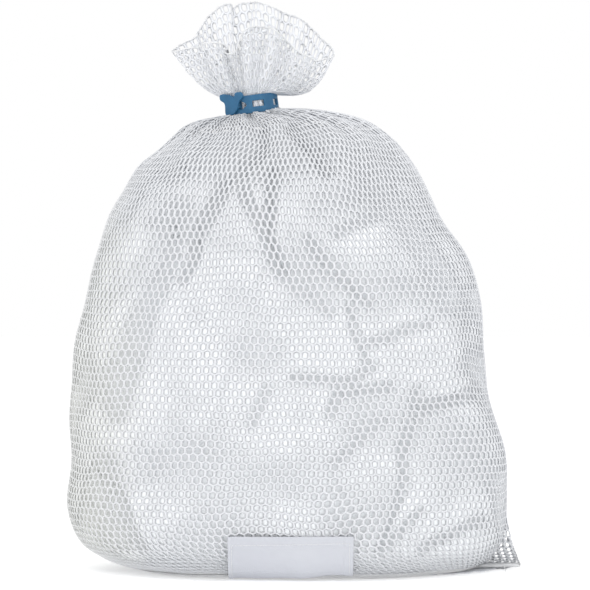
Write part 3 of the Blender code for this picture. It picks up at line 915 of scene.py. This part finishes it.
class Foot(Lattice):
    """The flat of the net that the bag stands on, as straight columns of cells."""

    def __init__(self, outline, columns):
        self.columns = columns
        self.low = outline.min(0)
        self.high = outline.max(0)

    def width_at(self, height):
        return np.full_like(np.asarray(height, float), FOOT_CELL)

    def place(self, u, height, lift):
        x = self.low[0] + u * self.columns * FOOT_CELL
        y = self.low[1] + height
        lift = np.broadcast_to(lift[..., 0], x.shape)
        return np.stack((x, y, FLOOR_LIFT - lift), -1)


def build_foot(body, look):
    outline = body.table[0][:, :2]
    columns = int(np.ptp(outline[:, 0]) / FOOT_CELL) + 2
    foot = Foot(outline, columns)
    depth = foot.high[1] - foot.low[1]
    rows = np.arange(0.004, depth - 0.002, CELL_SIDE + float(foot.slant(FOOT_CELL)))
    odd = np.arange(len(rows)) % 2 * 0.5
    x = foot.low[0] + (np.arange(columns)[None, :] + odd[:, None]) * FOOT_CELL
    y = foot.low[1] + rows[:, None] + 0 * x
    centre = (foot.low + foot.high) / 2
    half = (foot.high - foot.low) / 2 - 0.008
    across, deep = np.abs((x - centre[0]) / half[0]), np.abs((y - centre[1]) / half[1])
    inside = across**SQUARENESS + deep**SQUARENESS < 1.0
    made = net_piece("net_foot", knit(foot, rows), inside, look, "net_body")


HEM_CORE_RADIUS, HEM_COIL_RADIUS = 0.00070, 0.00085
SEAM_CORE_RADIUS, SEAM_COIL_RADIUS = 0.00080, 0.00100
THREAD_RADIUS = 0.00028
COIL_PITCH = 0.0030


def build_mouth_hem(lattice, look):
    """The overlocked edge of the mouth: a thin core along the rim with thread wound round it."""
    count = 900
    u = np.arange(count) / count
    rim = lattice.place(u, np.full(count, lattice.height[-1] - 0.0012), np.zeros((count, 1)))
    thread = coil_round(np.vstack((rim, rim[:1])), HEM_COIL_RADIUS, COIL_PITCH, 6)
    parts = (sweep(rim, HEM_CORE_RADIUS, 6, closed=True), sweep(thread, 0.00030, 4))
    thread_piece("mouth_hem_cord", parts, look, "mouth_hem")


def build_side_seam(lattice, look):
    """The overlocked side seam, from the ear to the neck, with its loops."""
    count = 420
    height = np.linspace(0.030, lattice.height[BODY_LEVELS - 5], count)
    path = lattice.place(np.zeros(count), height, np.full((count, 1), 0.0004))
    coils = [coil_round(path, SEAM_COIL_RADIUS, COIL_PITCH, start=turn) for turn in (0.0, math.pi)]
    parts = [sweep(path, SEAM_CORE_RADIUS)] + [sweep(coil, THREAD_RADIUS, 5) for coil in coils]
    thread_piece("side_seam_overlock", parts, look, "side_seam")


def front_height_at(lattice, z):
    """How far along the net from its foot its front is at this height."""
    front = lattice.table[:, int(EVEN_COLUMNS * 0.75), 2]
    top = int(np.argmax(front[: BODY_LEVELS]))
    return np.interp(z, front[:top], lattice.height[:top])


# The bottom seam's section: the share of its width, and how far it stands off the net there.
BOTTOM_SEAM_PROFILE = ((0.0, 0.0006), (0.15, 0.0012), (0.5, 0.0015), (0.85, 0.0012), (1.0, 0.0006))
BOTTOM_SEAM_ENDS = (0.545, 0.992)  # as shares of the way round the net
BOTTOM_SEAM_HEIGHTS = (0.0020, 0.0058)
BOTTOM_SEAM_LOOPS = 190


def build_bottom_seam(lattice, look):
    """The flattened overlocked seam along the front of the foot, with its zigzag loops."""
    count = 300
    u = np.linspace(*BOTTOM_SEAM_ENDS, count)
    low, high = (front_height_at(lattice, z) for z in BOTTOM_SEAM_HEIGHTS)
    rows = []
    for share, lift in BOTTOM_SEAM_PROFILE:
        height = np.full(count, low + (high - low) * share)
        rows.append(lattice.place(u, height, np.full((count, 1), lift)))
    rows.append(lattice.place(u, np.full(count, (low + high) / 2), np.full((count, 1), 0.0002)))
    rings = np.stack(rows, 1)
    index = np.arange(rings.shape[0] * rings.shape[1]).reshape(rings.shape[:2])
    strip = rings.reshape(-1, 3), closed_tube(index, ((0, 1, 2, 5), (2, 3, 4, 5)))
    many = np.linspace(0.0, 1.0, BOTTOM_SEAM_LOOPS * 6)
    turn = 2 * math.pi * BOTTOM_SEAM_LOOPS * many
    zigzag = low + (high - low) * (0.5 + 0.46 * np.cos(turn))
    lift = 0.0013 + 0.0004 * np.sin(turn) ** 2
    thread = lattice.place(u[0] + (u[-1] - u[0]) * many, zigzag, lift[:, None])
    parts = (strip, sweep(thread, 0.00026, 4))
    raise_to(thread_piece("bottom_seam_overlock", parts, look, "bottom_seam"), 0.0)


def smooth_path(points, count):
    """A Catmull-Rom curve through these points."""
    table = np.array(points, float)
    table = np.vstack((2 * table[0] - table[1], table, 2 * table[-1] - table[-2]))
    t = np.linspace(0.0, len(points) - 1.0001, count)
    low = t.astype(int) + 1
    t = (t - low + 1)[:, None]
    return catmull_rom(*(table[low + i] for i in (-1, 0, 1, 2)), t)


THREAD_TAIL = (
    (0.2085, -0.0235, 0.0030), (0.2090, -0.0300, 0.0016),
    (0.2095, -0.0370, 0.0009), (0.2085, -0.0450, 0.0008),
)


def build_thread_tail(look):
    """The loose end of the overlock thread at the bottom right corner."""
    path = smooth_path(THREAD_TAIL, 40)
    strands = [coil_round(path, THREAD_RADIUS, 0.0028, start=turn) for turn in (0.0, math.pi)]
    parts = [sweep(strand, THREAD_RADIUS, 5) for strand in strands]
    raise_to(thread_piece("seam_thread_end", parts, look, "seam_thread_tail"), 0.0002)


# ------------------------ the patch

LABEL_LEFT, LABEL_RIGHT = -0.0616, 0.0562
LABEL_TOP_STATION = 3.49
LABEL_BOTTOM_STATIONS = (0.95, 1.60)  # at its left and at its right
LABEL_THICKNESS = 0.0008  # of the cloth, and of the hem folded under it
LABEL_STANDS_OFF = 0.0022  # how far it is off the net's middle, at its top
LABEL_SLACK = 0.0014  # and how much more at its foot
STITCHES = (16, 42, 16)  # down its left side, along its top and down its right side
STITCH_POINTS = 7
STITCH_RADIUS = 0.00026


def angle_across(x, k):
    """The angle on the front of the net, at these stations, whose points have this x."""
    low = np.full(np.shape(x), math.pi)
    high = np.full(np.shape(x), 2 * math.pi)
    for _ in range(36):
        middle = (low + high) / 2
        left = bag_points(middle, k)[..., 0] < x
        low, high = np.where(left, middle, low), np.where(left, high, middle)
    return low


def label_points(across, down, lift):
    """Points on the patch: across 0 to 1 from the left, down 0 to 1 from its top."""
    left_foot, right_foot = LABEL_BOTTOM_STATIONS
    foot = left_foot + (right_foot - left_foot) * across
    k = LABEL_TOP_STATION + (foot - LABEL_TOP_STATION) * down
    x = LABEL_LEFT + (LABEL_RIGHT - LABEL_LEFT) * across
    angle = angle_across(x, k)
    placed = bag_points(angle, k) + bag_normals(angle, k, 0.05) * lift[..., None]
    placed[..., 2] = np.maximum(placed[..., 2], LABEL_THICKNESS)
    return placed


def label_lift(across, down):
    """How far the patch stands off the net: soft upright creases, a folded hem and a slack foot."""
    creases = 0.0007 * np.cos(9.0 * across + 1.3 * down) + 0.0005 * np.cos(17.0 * across + 2.0)
    creases *= smooth_step(down, 0.02, 0.5)
    hem = 1.0 - smooth_step(down, 0.12, 0.15)
    hem += smooth_step(across, 0.925, 0.940) + 1.0 - smooth_step(across, 0.028, 0.040)
    return LABEL_STANDS_OFF + LABEL_SLACK * down + creases + LABEL_THICKNESS * hem


def build_label(patch_look, look):
    columns, rows = 120, 48
    across, down = np.meshgrid(np.linspace(0, 1, columns), np.linspace(0, 1, rows))
    lift = label_lift(across, down)
    outer = label_points(across, down, lift)
    inner = label_points(across, down, lift - LABEL_THICKNESS)
    index = np.arange(rows * columns).reshape(rows, columns)
    total = rows * columns
    corners = (index[:-1, :-1], index[1:, :-1], index[1:, 1:], index[:-1, 1:])
    face = np.stack(corners, -1).reshape(-1, 4)
    edge = np.concatenate((index[0, :], index[1:, -1], index[-1, -2::-1], index[-2:0:-1, 0]))
    after = np.roll(edge, -1)
    rim = np.stack((edge, after, after + total, edge + total), -1)
    points = np.concatenate((outer.reshape(-1, 3), inner.reshape(-1, 3)))
    faces = np.concatenate((face, face[:, ::-1] + total, rim))
    made = mesh_object("label_patch_cloth", points, faces)
    face_outwards(made)
    soften_edges(made, 0.0002)
    dress(made, patch_look, "bag", "label_twill", "label_patch")

    stitches = []
    corners = ((0.03, 0.86), (0.03, 0.10), (0.97, 0.10), (0.97, 0.86))
    arch = 0.00030 * np.sin(np.linspace(0, math.pi, STITCH_POINTS)) - 0.00005
    for start, end, number in zip(corners, corners[1:], STITCHES):
        for i in range(number):
            share = (np.linspace(0.14, 0.86, STITCH_POINTS) + i) / number
            at, low = (a + (b - a) * share for a, b in zip(start, end))
            stitch = label_points(at, low, label_lift(at, low) + arch)
            stitches.append(sweep(stitch, STITCH_RADIUS, 5))
    thread_piece("label_stitches", stitches, look, "label_stitching")


def soften_edges(piece, width, segments=2, degrees=40.0):
    bevel = piece.modifiers.new("soft edges", "BEVEL")
    bevel.width = width
    bevel.segments = segments
    bevel.limit_method = "ANGLE"
    bevel.angle_limit = math.radians(degrees)
    bevel.harden_normals = False


# ------------------------ the strap closure


def slot_half_height(degrees):
    """Half the height of the slot here: the hook slot is a long diamond, stretched by the stem."""
    low, high = SLOT_ANGLES[0]
    from_middle = abs(degrees - (low + high) / 2) / ((high - low) / 2)
    if from_middle > 1.3:
        return SLOT_HALF_HEIGHT
    return 0.0012 + (HOOK_SLOT_HALF_HEIGHT - 0.0012) * max(0.0, 1.0 - from_middle)


def strap_shell(name, columns, inset_at, slots):
    """The strap between these angles, with rounded slots and edges."""
    bm = bmesh.new()
    grid = []
    edge = STRAP_WIDTH / 2
    for degrees in columns:
        half = slot_half_height(degrees)
        opening = np.linspace(-half, half, 5)[1:-1]
        below, above = np.linspace(-edge, -half, 4), np.linspace(half, edge, 4)
        heights = np.concatenate((below, opening, above))
        points = strap_points(degrees, heights, float(inset_at(degrees)))
        grid.append([bm.verts.new(point) for point in points])
    rows = len(grid[0]) - 1
    for i in range(len(columns) - 1):
        middle = (columns[i] + columns[i + 1]) / 2
        in_slot = any(low < middle < high for low, high in slots)
        for row in range(rows):
            if in_slot and 3 <= row < rows - 3:
                continue
            here, there = grid[i], grid[i + 1]
            bm.faces.new((here[row], there[row], there[row + 1], here[row + 1]))
    loose = [v for v in bm.verts if not v.link_faces]
    bmesh.ops.delete(bm, geom=loose, context="VERTS")
    bmesh.ops.recalc_face_normals(bm, faces=bm.faces)
    made = object_from(bm, name)
    made.data.shade_smooth()
    solid = made.modifiers.new("thickness", "SOLIDIFY")
    solid.thickness = STRAP_THICKNESS
    solid.offset = 0.0
    solid.use_even_offset = True
    soften_edges(made, 0.0006, 3)
    return made


# The fishtail's outline, along the strap and up.
FISHTAIL = (
    (-0.0139, -0.0077), (-0.0124, 0.0045), (-0.0177, 0.0086), (-0.0171, 0.0136), (-0.0126, 0.0142),
    (-0.0047, 0.0116), (-0.0017, 0.0091), (0.0005, 0.0136), (0.0070, 0.0132), (0.0092, 0.0086),
    (0.0065, 0.0063), (0.0030, 0.0036), (0.0007, -0.0031), (-0.0043, -0.0082),
)


def spread(start, end, step):
    count = max(2, round(abs(end - start) / step))
    return [start + (end - start) * i / count for i in range(count + 1)]


def fishtail():
    """The fishtail head, flat against the arm, with its stem through the hook slot."""
    touch = math.radians(-122.0)
    cos, sin = math.cos(touch), math.sin(touch)
    outward = Vector((STRAP_HALF_DEEP * cos, STRAP_HALF_ACROSS * sin, 0)).normalized()
    along = Vector((-outward.y, outward.x, 0))
    lift = STRAP_THICKNESS / 2 + 0.0006
    base = Vector((STRAP_HALF_ACROSS * cos, STRAP_HALF_DEEP * sin, 0)) + outward * lift
    outline = smooth_outline(FISHTAIL)
    bm = bmesh.new()
    layers = []
    for depth in (0.0, 0.0028):
        start = base + outward * depth
        layers.append([bm.verts.new(start + along * x + Vector((0, 0, z))) for x, z in outline])
        bm.faces.new(layers[-1])
    for i in range(len(outline)):
        j = (i + 1) % len(outline)
        bm.faces.new((layers[0][i], layers[0][j], layers[1][j], layers[1][i]))
    stem = bmesh.ops.create_cube(bm, size=1.0)["verts"]
    depth = STRAP_THICKNESS + 0.0016
    turn = Matrix((along.to_4d(), outward.to_4d(), (0, 0, 1, 0), (0, 0, 0, 1))).transposed()
    turn[3][0] = turn[3][1] = 0.0
    centre = base - outward * (depth / 2 - 0.0010)
    size = Matrix.Diagonal((0.0038, depth, 0.0052, 1.0))
    bmesh.ops.transform(bm, matrix=Matrix.Translation(centre) @ turn @ size, verts=stem)
    bm.transform(STRAP_FRAME)
    bmesh.ops.recalc_face_normals(bm, faces=bm.faces)
    made = object_from(bm, "closure_fishtail")
    made.data.shade_smooth()
    made.data.set_sharp_from_angle(angle=math.radians(40))
    soften_edges(made, 0.0007, 3, 50.0)
    return made


def smooth_outline(points, rounding=0.17):
    """An outline with each corner cut twice, so that it turns softly."""
    table = np.array(points)
    for _ in range(2):
        after = np.roll(table, -1, 0)
        first = table + (after - table) * rounding
        second = after + (table - after) * rounding
        table = np.stack((first, second), 1).reshape(-1, 2)
    return [tuple(point) for point in table]


def build_closure(rubber, look):
    bounds = [-HINGE_GAP_ANGLE]
    for low, high in reversed(SLOT_ANGLES):
        bounds += [high, low]
    bounds.append(ARM_END_ANGLE)
    columns = []
    for start, end in zip(bounds, bounds[1:]):
        columns += spread(start, end, STRAP_STEP)[:-1]
    columns.append(ARM_END_ANGLE)
    arm = strap_shell("closure_arm_strap", columns, lambda degrees: 0.0, SLOT_ANGLES)
    dress(arm, rubber, "arm", "rubber", "closure_arm")

    columns = spread(HINGE_GAP_ANGLE, BAND_END_ANGLE, STRAP_STEP)
    band = strap_shell("closure_band_strap", columns, overlap_inset, ())
    dress(band, rubber, "bag", "rubber", "closure_band")
    dress(fishtail(), rubber, "bag", "rubber", "closure_tail")
    build_bar_tack(look)


def build_bar_tack(look):
    """The bar tack at the back that holds the strap to the net: close zigzag stitches."""
    back = STRAP_HALF_DEEP + STRAP_THICKNESS / 2
    turns = 16
    share = np.linspace(0.0, 1.0, turns * 8)
    side = 0.0021 * np.cos(2 * math.pi * turns * share)
    bulge = back + 0.0006 + 0.0003 * np.sin(4 * math.pi * turns * share)
    path = in_strap_frame(np.stack((side, bulge, -0.0058 + 0.0116 * share), -1))
    thread_piece("closure_bar_tack", (sweep(path, 0.00034, 6),), look, "closure_stitching")


# ------------------------ the laundry

LAUNDRY = (  # each bundle's node and how bright its cotton is
    ("towel_lower_left", 0.965),
    ("towel_lower_right", 0.950),
    ("sheet_middle_left", 0.970),
    ("sheet_middle_right", 0.965),
    ("sheet_middle_back", 0.955),
    ("pillowcase_upper_left", 0.970),
    ("pillowcase_upper_right", 0.975),
)
# Creases that show at the front, as (x, z) points down each crease, with its width and depth.
CREASES = (
    (((0.000, 0.435), (0.025, 0.410), (0.035, 0.390)), 0.0038, 0.017),
    (((-0.020, 0.390), (-0.025, 0.325), (-0.010, 0.295)), 0.0045, 0.009),
    (((-0.050, 0.370), (-0.025, 0.325)), 0.0050, 0.005),
    (((-0.030, 0.445), (-0.030, 0.415), (-0.055, 0.385)), 0.0040, 0.008),
    (((-0.070, 0.380), (-0.110, 0.290)), 0.0050, 0.008),
    (((-0.115, 0.350), (-0.150, 0.255), (-0.175, 0.165)), 0.0100, 0.006),
    (((-0.130, 0.400), (-0.120, 0.395)), 0.0070, 0.010),
    (((0.085, 0.415), (0.095, 0.410)), 0.0070, 0.010),
    (((0.085, 0.390), (0.130, 0.305), (0.150, 0.265)), 0.0090, 0.005),
    (((0.045, 0.330), (0.090, 0.350)), 0.0050, 0.0025),
    (((0.015, 0.325), (0.030, 0.300), (0.075, 0.265)), 0.0040, 0.0035),
    (((-0.010, 0.290), (0.035, 0.255)), 0.0050, 0.0025),
    (((0.055, 0.260), (0.070, 0.210)), 0.0040, 0.0030),
    (((0.070, 0.225), (0.135, 0.245)), 0.0050, 0.0025),
    (((0.000, 0.195), (0.055, 0.190), (0.075, 0.205)), 0.0045, 0.0030),
    (((0.035, 0.160), (0.045, 0.180), (0.090, 0.185)), 0.0040, 0.0035),
    (((0.040, 0.115), (0.080, 0.150)), 0.0050, 0.0025),
    (((-0.040, 0.150), (-0.025, 0.185)), 0.0050, 0.0020),
    (((0.120, 0.180), (0.105, 0.090), (0.085, 0.030)), 0.0045, 0.0045),
    (((0.125, 0.165), (0.175, 0.175)), 0.0040, 0.0060),
    (((0.095, 0.035), (0.125, 0.065)), 0.0040, 0.0035),
    (((0.130, 0.030), (0.185, 0.055)), 0.0040, 0.0035),
    (((-0.180, 0.110), (-0.160, 0.050), (-0.145, 0.030)), 0.0040, 0.0060),
    (((-0.190, 0.105), (-0.160, 0.030)), 0.0040, 0.0050),
)
LAUNDRY_GAP = 0.0008  # between the cloth and the middle of the net
TURN_GAP = 0.0020  # more of it where the net turns sharply, at the shoulder and round the foot
LAUNDRY_SHOULDER = 0.400  # the height above which the laundry sinks away from the neck
SHOULDER_SINK = 0.18
SHOULDER_TURN = (0.375, 0.400)  # the heights over which the net turns in to the neck
FOOT_TURN = (0.010, 0.030)  # and those over which it turns under the foot
LAUNDRY_FLOOR = 0.0032
LAUNDRY_FOLDS = ((0.085, 31, 0.0013), (0.032, 33, 0.0004))  # wavelength, seed, size
LAUNDRY_BENDS = ((0.120, (51, 52, 53), 0.0085), (0.045, (54, 55, 56), 0.0030))
CREASE_STRENGTH = 1.4
NEAR_NET = 0.18  # the share of the bag's half width within which the laundry is pushed to the net
JOIN_DEPTH = 0.11  # what is left of a hollow there
VOXEL = 0.0055
SWELL = 0.0042
SWELL_LIMIT = 0.004
CLOTH_STEPS = 18
CLOTH_SETTINGS = (
    ("quality", 4), ("mass", 0.25), ("tension_stiffness", 12), ("compression_stiffness", 12),
    ("bending_stiffness", 0.4), ("use_pressure", True), ("uniform_pressure_force", 4.0),
)


def laundry_solids():
    """Closed shells of the laundry, remeshed evenly and swelled a little with cloth pressure."""
    solids = []
    for node, _ in LAUNDRY:
        copy = new_object(node + "_cloth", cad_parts[node].data.copy())
        remesh = copy.modifiers.new("even", "REMESH")
        remesh.mode = "VOXEL"
        remesh.voxel_size = VOXEL
        remesh.use_smooth_shade = True
        apply_modifiers(copy)
        solids.append(copy)
    starts = [mesh_points(solid) for solid in solids]
    for solid in solids:
        cloth = solid.modifiers.new("cloth", "CLOTH")
        for setting, value in CLOTH_SETTINGS:
            setattr(cloth.settings, setting, value)
        cloth.settings.effector_weights.gravity = 0.0
        cloth.collision_settings.use_collision = False
        cloth.collision_settings.use_self_collision = False
    scene = bpy.context.scene
    for step in range(1, CLOTH_STEPS + 1):
        scene.frame_set(step)
    for solid, start in zip(solids, starts):
        apply_modifiers(solid)
        moved = mesh_points(solid) - start
        size = np.linalg.norm(moved, axis=1, keepdims=True)
        set_points(solid, start + moved * np.minimum(1.0, SWELL_LIMIT / np.maximum(size, 1e-9)))
    scene.frame_set(1)
    return solids


def apply_modifiers(piece):
    bpy.context.view_layer.update()
    evaluated = piece.evaluated_get(bpy.context.evaluated_depsgraph_get())
    mesh = bpy.data.meshes.new_from_object(evaluated)
    piece.modifiers.clear()
    piece.data = mesh


def mesh_points(piece):
    points = np.empty(len(piece.data.vertices) * 3, np.float32)
    piece.data.vertices.foreach_get("co", points)
    return points.reshape(-1, 3).astype(float)


def set_points(piece, points):
    piece.data.vertices.foreach_set("co", np.asarray(points, np.float32).ravel())
    piece.data.update()


def crease_depth(points, broader=1.0):
    """How deep the front creases are here, for a surface that bridges them this much broader."""
    depth = np.zeros(len(points))
    flat = points[:, (0, 2)]
    for line, width, deepest in CREASES:
        ends = np.array(line)
        nearest = np.full(len(points), 1e9)
        for start, end in zip(ends, ends[1:]):
            way = end - start
            share = np.clip(((flat - start) @ way) / (way @ way), 0.0, 1.0)
            away = np.linalg.norm(flat - start - share[:, None] * way, axis=1)
            nearest = np.minimum(nearest, away)
        depth = np.maximum(depth, deepest * np.exp(-((nearest / (width * broader)) ** 2)))
    return depth * (points[:, 1] < 0.0)


def warp(points):
    """Bends all the bundles alike, so that they still fit each other and their joins wander."""
    moved = points
    for wavelength, seeds, size in LAUNDRY_BENDS:
        bend = [waves(points, wavelength, seed) for seed in seeds]
        moved = moved + size * np.stack(bend, -1)
    return moved


def where_in_net(points, heights):
    """The net's middle and reach beside each point, its share of the way out, angle and station."""
    fine_k = np.linspace(0.0, TOP_STATION, BODY_LEVELS)
    k = np.interp(heights, stations_at(fine_k)[0], fine_k)
    _, left, right, front, back, _ = stations_at(k)
    middle, half = (left + right) / 2, (right - left) / 2
    across = (points[:, 0] - middle) / half
    deep = points[:, 1] / np.where(points[:, 1] > 0, back, -front)
    share = (np.abs(across) ** SQUARENESS + np.abs(deep) ** SQUARENESS) ** (1 / SQUARENESS)
    sin, cos = signed_power(deep, SQUARENESS / 2), signed_power(across, SQUARENESS / 2)
    angle = np.arctan2(sin, cos) % (2 * math.pi)
    reach = bag_points(angle, k)[:, :2] - np.stack((middle, 0 * middle), -1)
    return middle, np.linalg.norm(reach, axis=1), share, angle, k


def keep_inside(points, moved):
    """Fits the bundles to the inside of the net, with soft folds, creases and shallow joins."""
    points[:, 2] -= SHOULDER_SINK * np.maximum(points[:, 2] - LAUNDRY_SHOULDER, 0.0)
    height = points[:, 2]
    folds = sum(
        size * np.clip(waves(points, wavelength, seed), 0.0, 1.0)
        for wavelength, seed, size in LAUNDRY_FOLDS
    )
    turns = smooth_step(height, *SHOULDER_TURN) + 1.0 - smooth_step(height, *FOOT_TURN)
    gap = LAUNDRY_GAP + TURN_GAP * turns + folds + CREASE_STRENGTH * crease_depth(points)
    *_, angle, k = where_in_net(points, height)
    normal = bag_normals(angle, k, 0.2)
    level = np.rint(k / TOP_STATION * (BODY_LEVELS - 1)).astype(int)
    column = np.rint(angle / (2 * math.pi) * ANGLES).astype(int) % ANGLES
    short = gap - moved[level, column]
    raised = points[:, 2] + np.maximum(normal[:, 2], 0.0) * short
    middle, radius, share, *_ = where_in_net(points, raised)
    limit = 1.0 - short * np.linalg.norm(normal[:, :2], axis=1) / radius
    filled = limit * (1.0 - JOIN_DEPTH * np.clip(1.0 - share, 0.0, NEAR_NET))
    fitted = np.where(share > 1.0 - NEAR_NET, filled, np.minimum(share, limit))
    scale = fitted / np.maximum(share, 1e-9)
    points[:, 0] = middle + (points[:, 0] - middle) * scale
    points[:, 1] *= scale
    points[:, 2] = np.maximum(points[:, 2], LAUNDRY_FLOOR)
    return points


def build_laundry(moved):
    for number, ((node, shade), solid) in enumerate(zip(LAUNDRY, laundry_solids())):
        smooth = solid.modifiers.new("settle", "SMOOTH")
        smooth.factor = 0.5
        smooth.iterations = 4
        finer = solid.modifiers.new("finer", "SUBSURF")
        finer.levels = finer.render_levels = 1
        swelled = solid.modifiers.new("swelled", "DISPLACE")
        swelled.strength = 2 * SWELL
        swelled.mid_level = 0.5
        apply_modifiers(solid)
        set_points(solid, keep_inside(warp(mesh_points(solid)), moved))
        solid.data.shade_smooth()
        look = laundry_look(node + "_cotton", shade, number)
        dress(solid, look, "bag", "laundry_cotton", node)


# ------------------------ studio

CAMERA_DISTANCE = 2.6
PICTURE_WIDTH_AT_BAG = 0.59


def build_studio():
    camera_data = bpy.data.cameras.new("camera")
    camera = new_object("camera", camera_data)
    camera.location = (0.0015, -CAMERA_DISTANCE, 0.272)
    camera.rotation_euler = (math.radians(90), 0.0, 0.0)
    camera_data.sensor_width = 36.0
    camera_data.lens = camera_data.sensor_width * CAMERA_DISTANCE / PICTURE_WIDTH_AT_BAG
    camera_data.clip_end = 50.0
    bpy.context.scene.camera = camera

    bm = bmesh.new()
    bmesh.ops.create_circle(bm, cap_ends=True, segments=96, radius=14.0)
    floor = object_from(bm, "floor")
    look = Look("floor", 0.9, Emission_Color=(1.0, 1.0, 1.0, 1.0), Emission_Strength=0.32)
    look.shader.inputs["Base Color"].default_value = (0.9, 0.9, 0.9, 1.0)
    give(floor, look.material)

    world = bpy.data.worlds.new("studio")
    world.use_nodes = True
    background = world.node_tree.nodes["Background"].inputs
    background["Color"].default_value = (1.0, 1.0, 1.0, 1.0)
    background["Strength"].default_value = 1.0
    bpy.context.scene.world = world
    bpy.context.scene.view_settings.view_transform = "Standard"

    soft_light("key", (-0.8, -1.9, 2.7), 1.6, 9.0, (1.0, 1.0, 0.98))
    soft_light("top", (-0.3, -0.6, 2.4), 1.2, 6.5, (1.0, 1.0, 1.0))
    soft_light("fill", (1.5, -2.0, 1.4), 1.6, 5.0, (0.92, 0.96, 1.0))


def soft_light(name, place, size, watts, colour):
    data = bpy.data.lights.new(name, "AREA")
    data.shape = "DISK"
    data.size = size
    data.energy = watts
    data.color = colour
    light = new_object(name, data)
    light.location = place
    aim = Vector((0.0, 0.0, 0.25)) - Vector(place)
    light.rotation_euler = aim.to_track_quat("-Z", "Y").to_euler()


# ------------------------ the whole bag


def build():
    build_studio()
    surface, moved = net_surface()
    body, ruffle = build_net(surface)
    look = thread_look()
    build_mouth_hem(ruffle, look)
    build_side_seam(body, look)
    build_bottom_seam(body, look)
    build_thread_tail(look)
    build_label(label_look(), look)
    build_closure(rubber_look(), look)
    build_laundry(moved)


build()
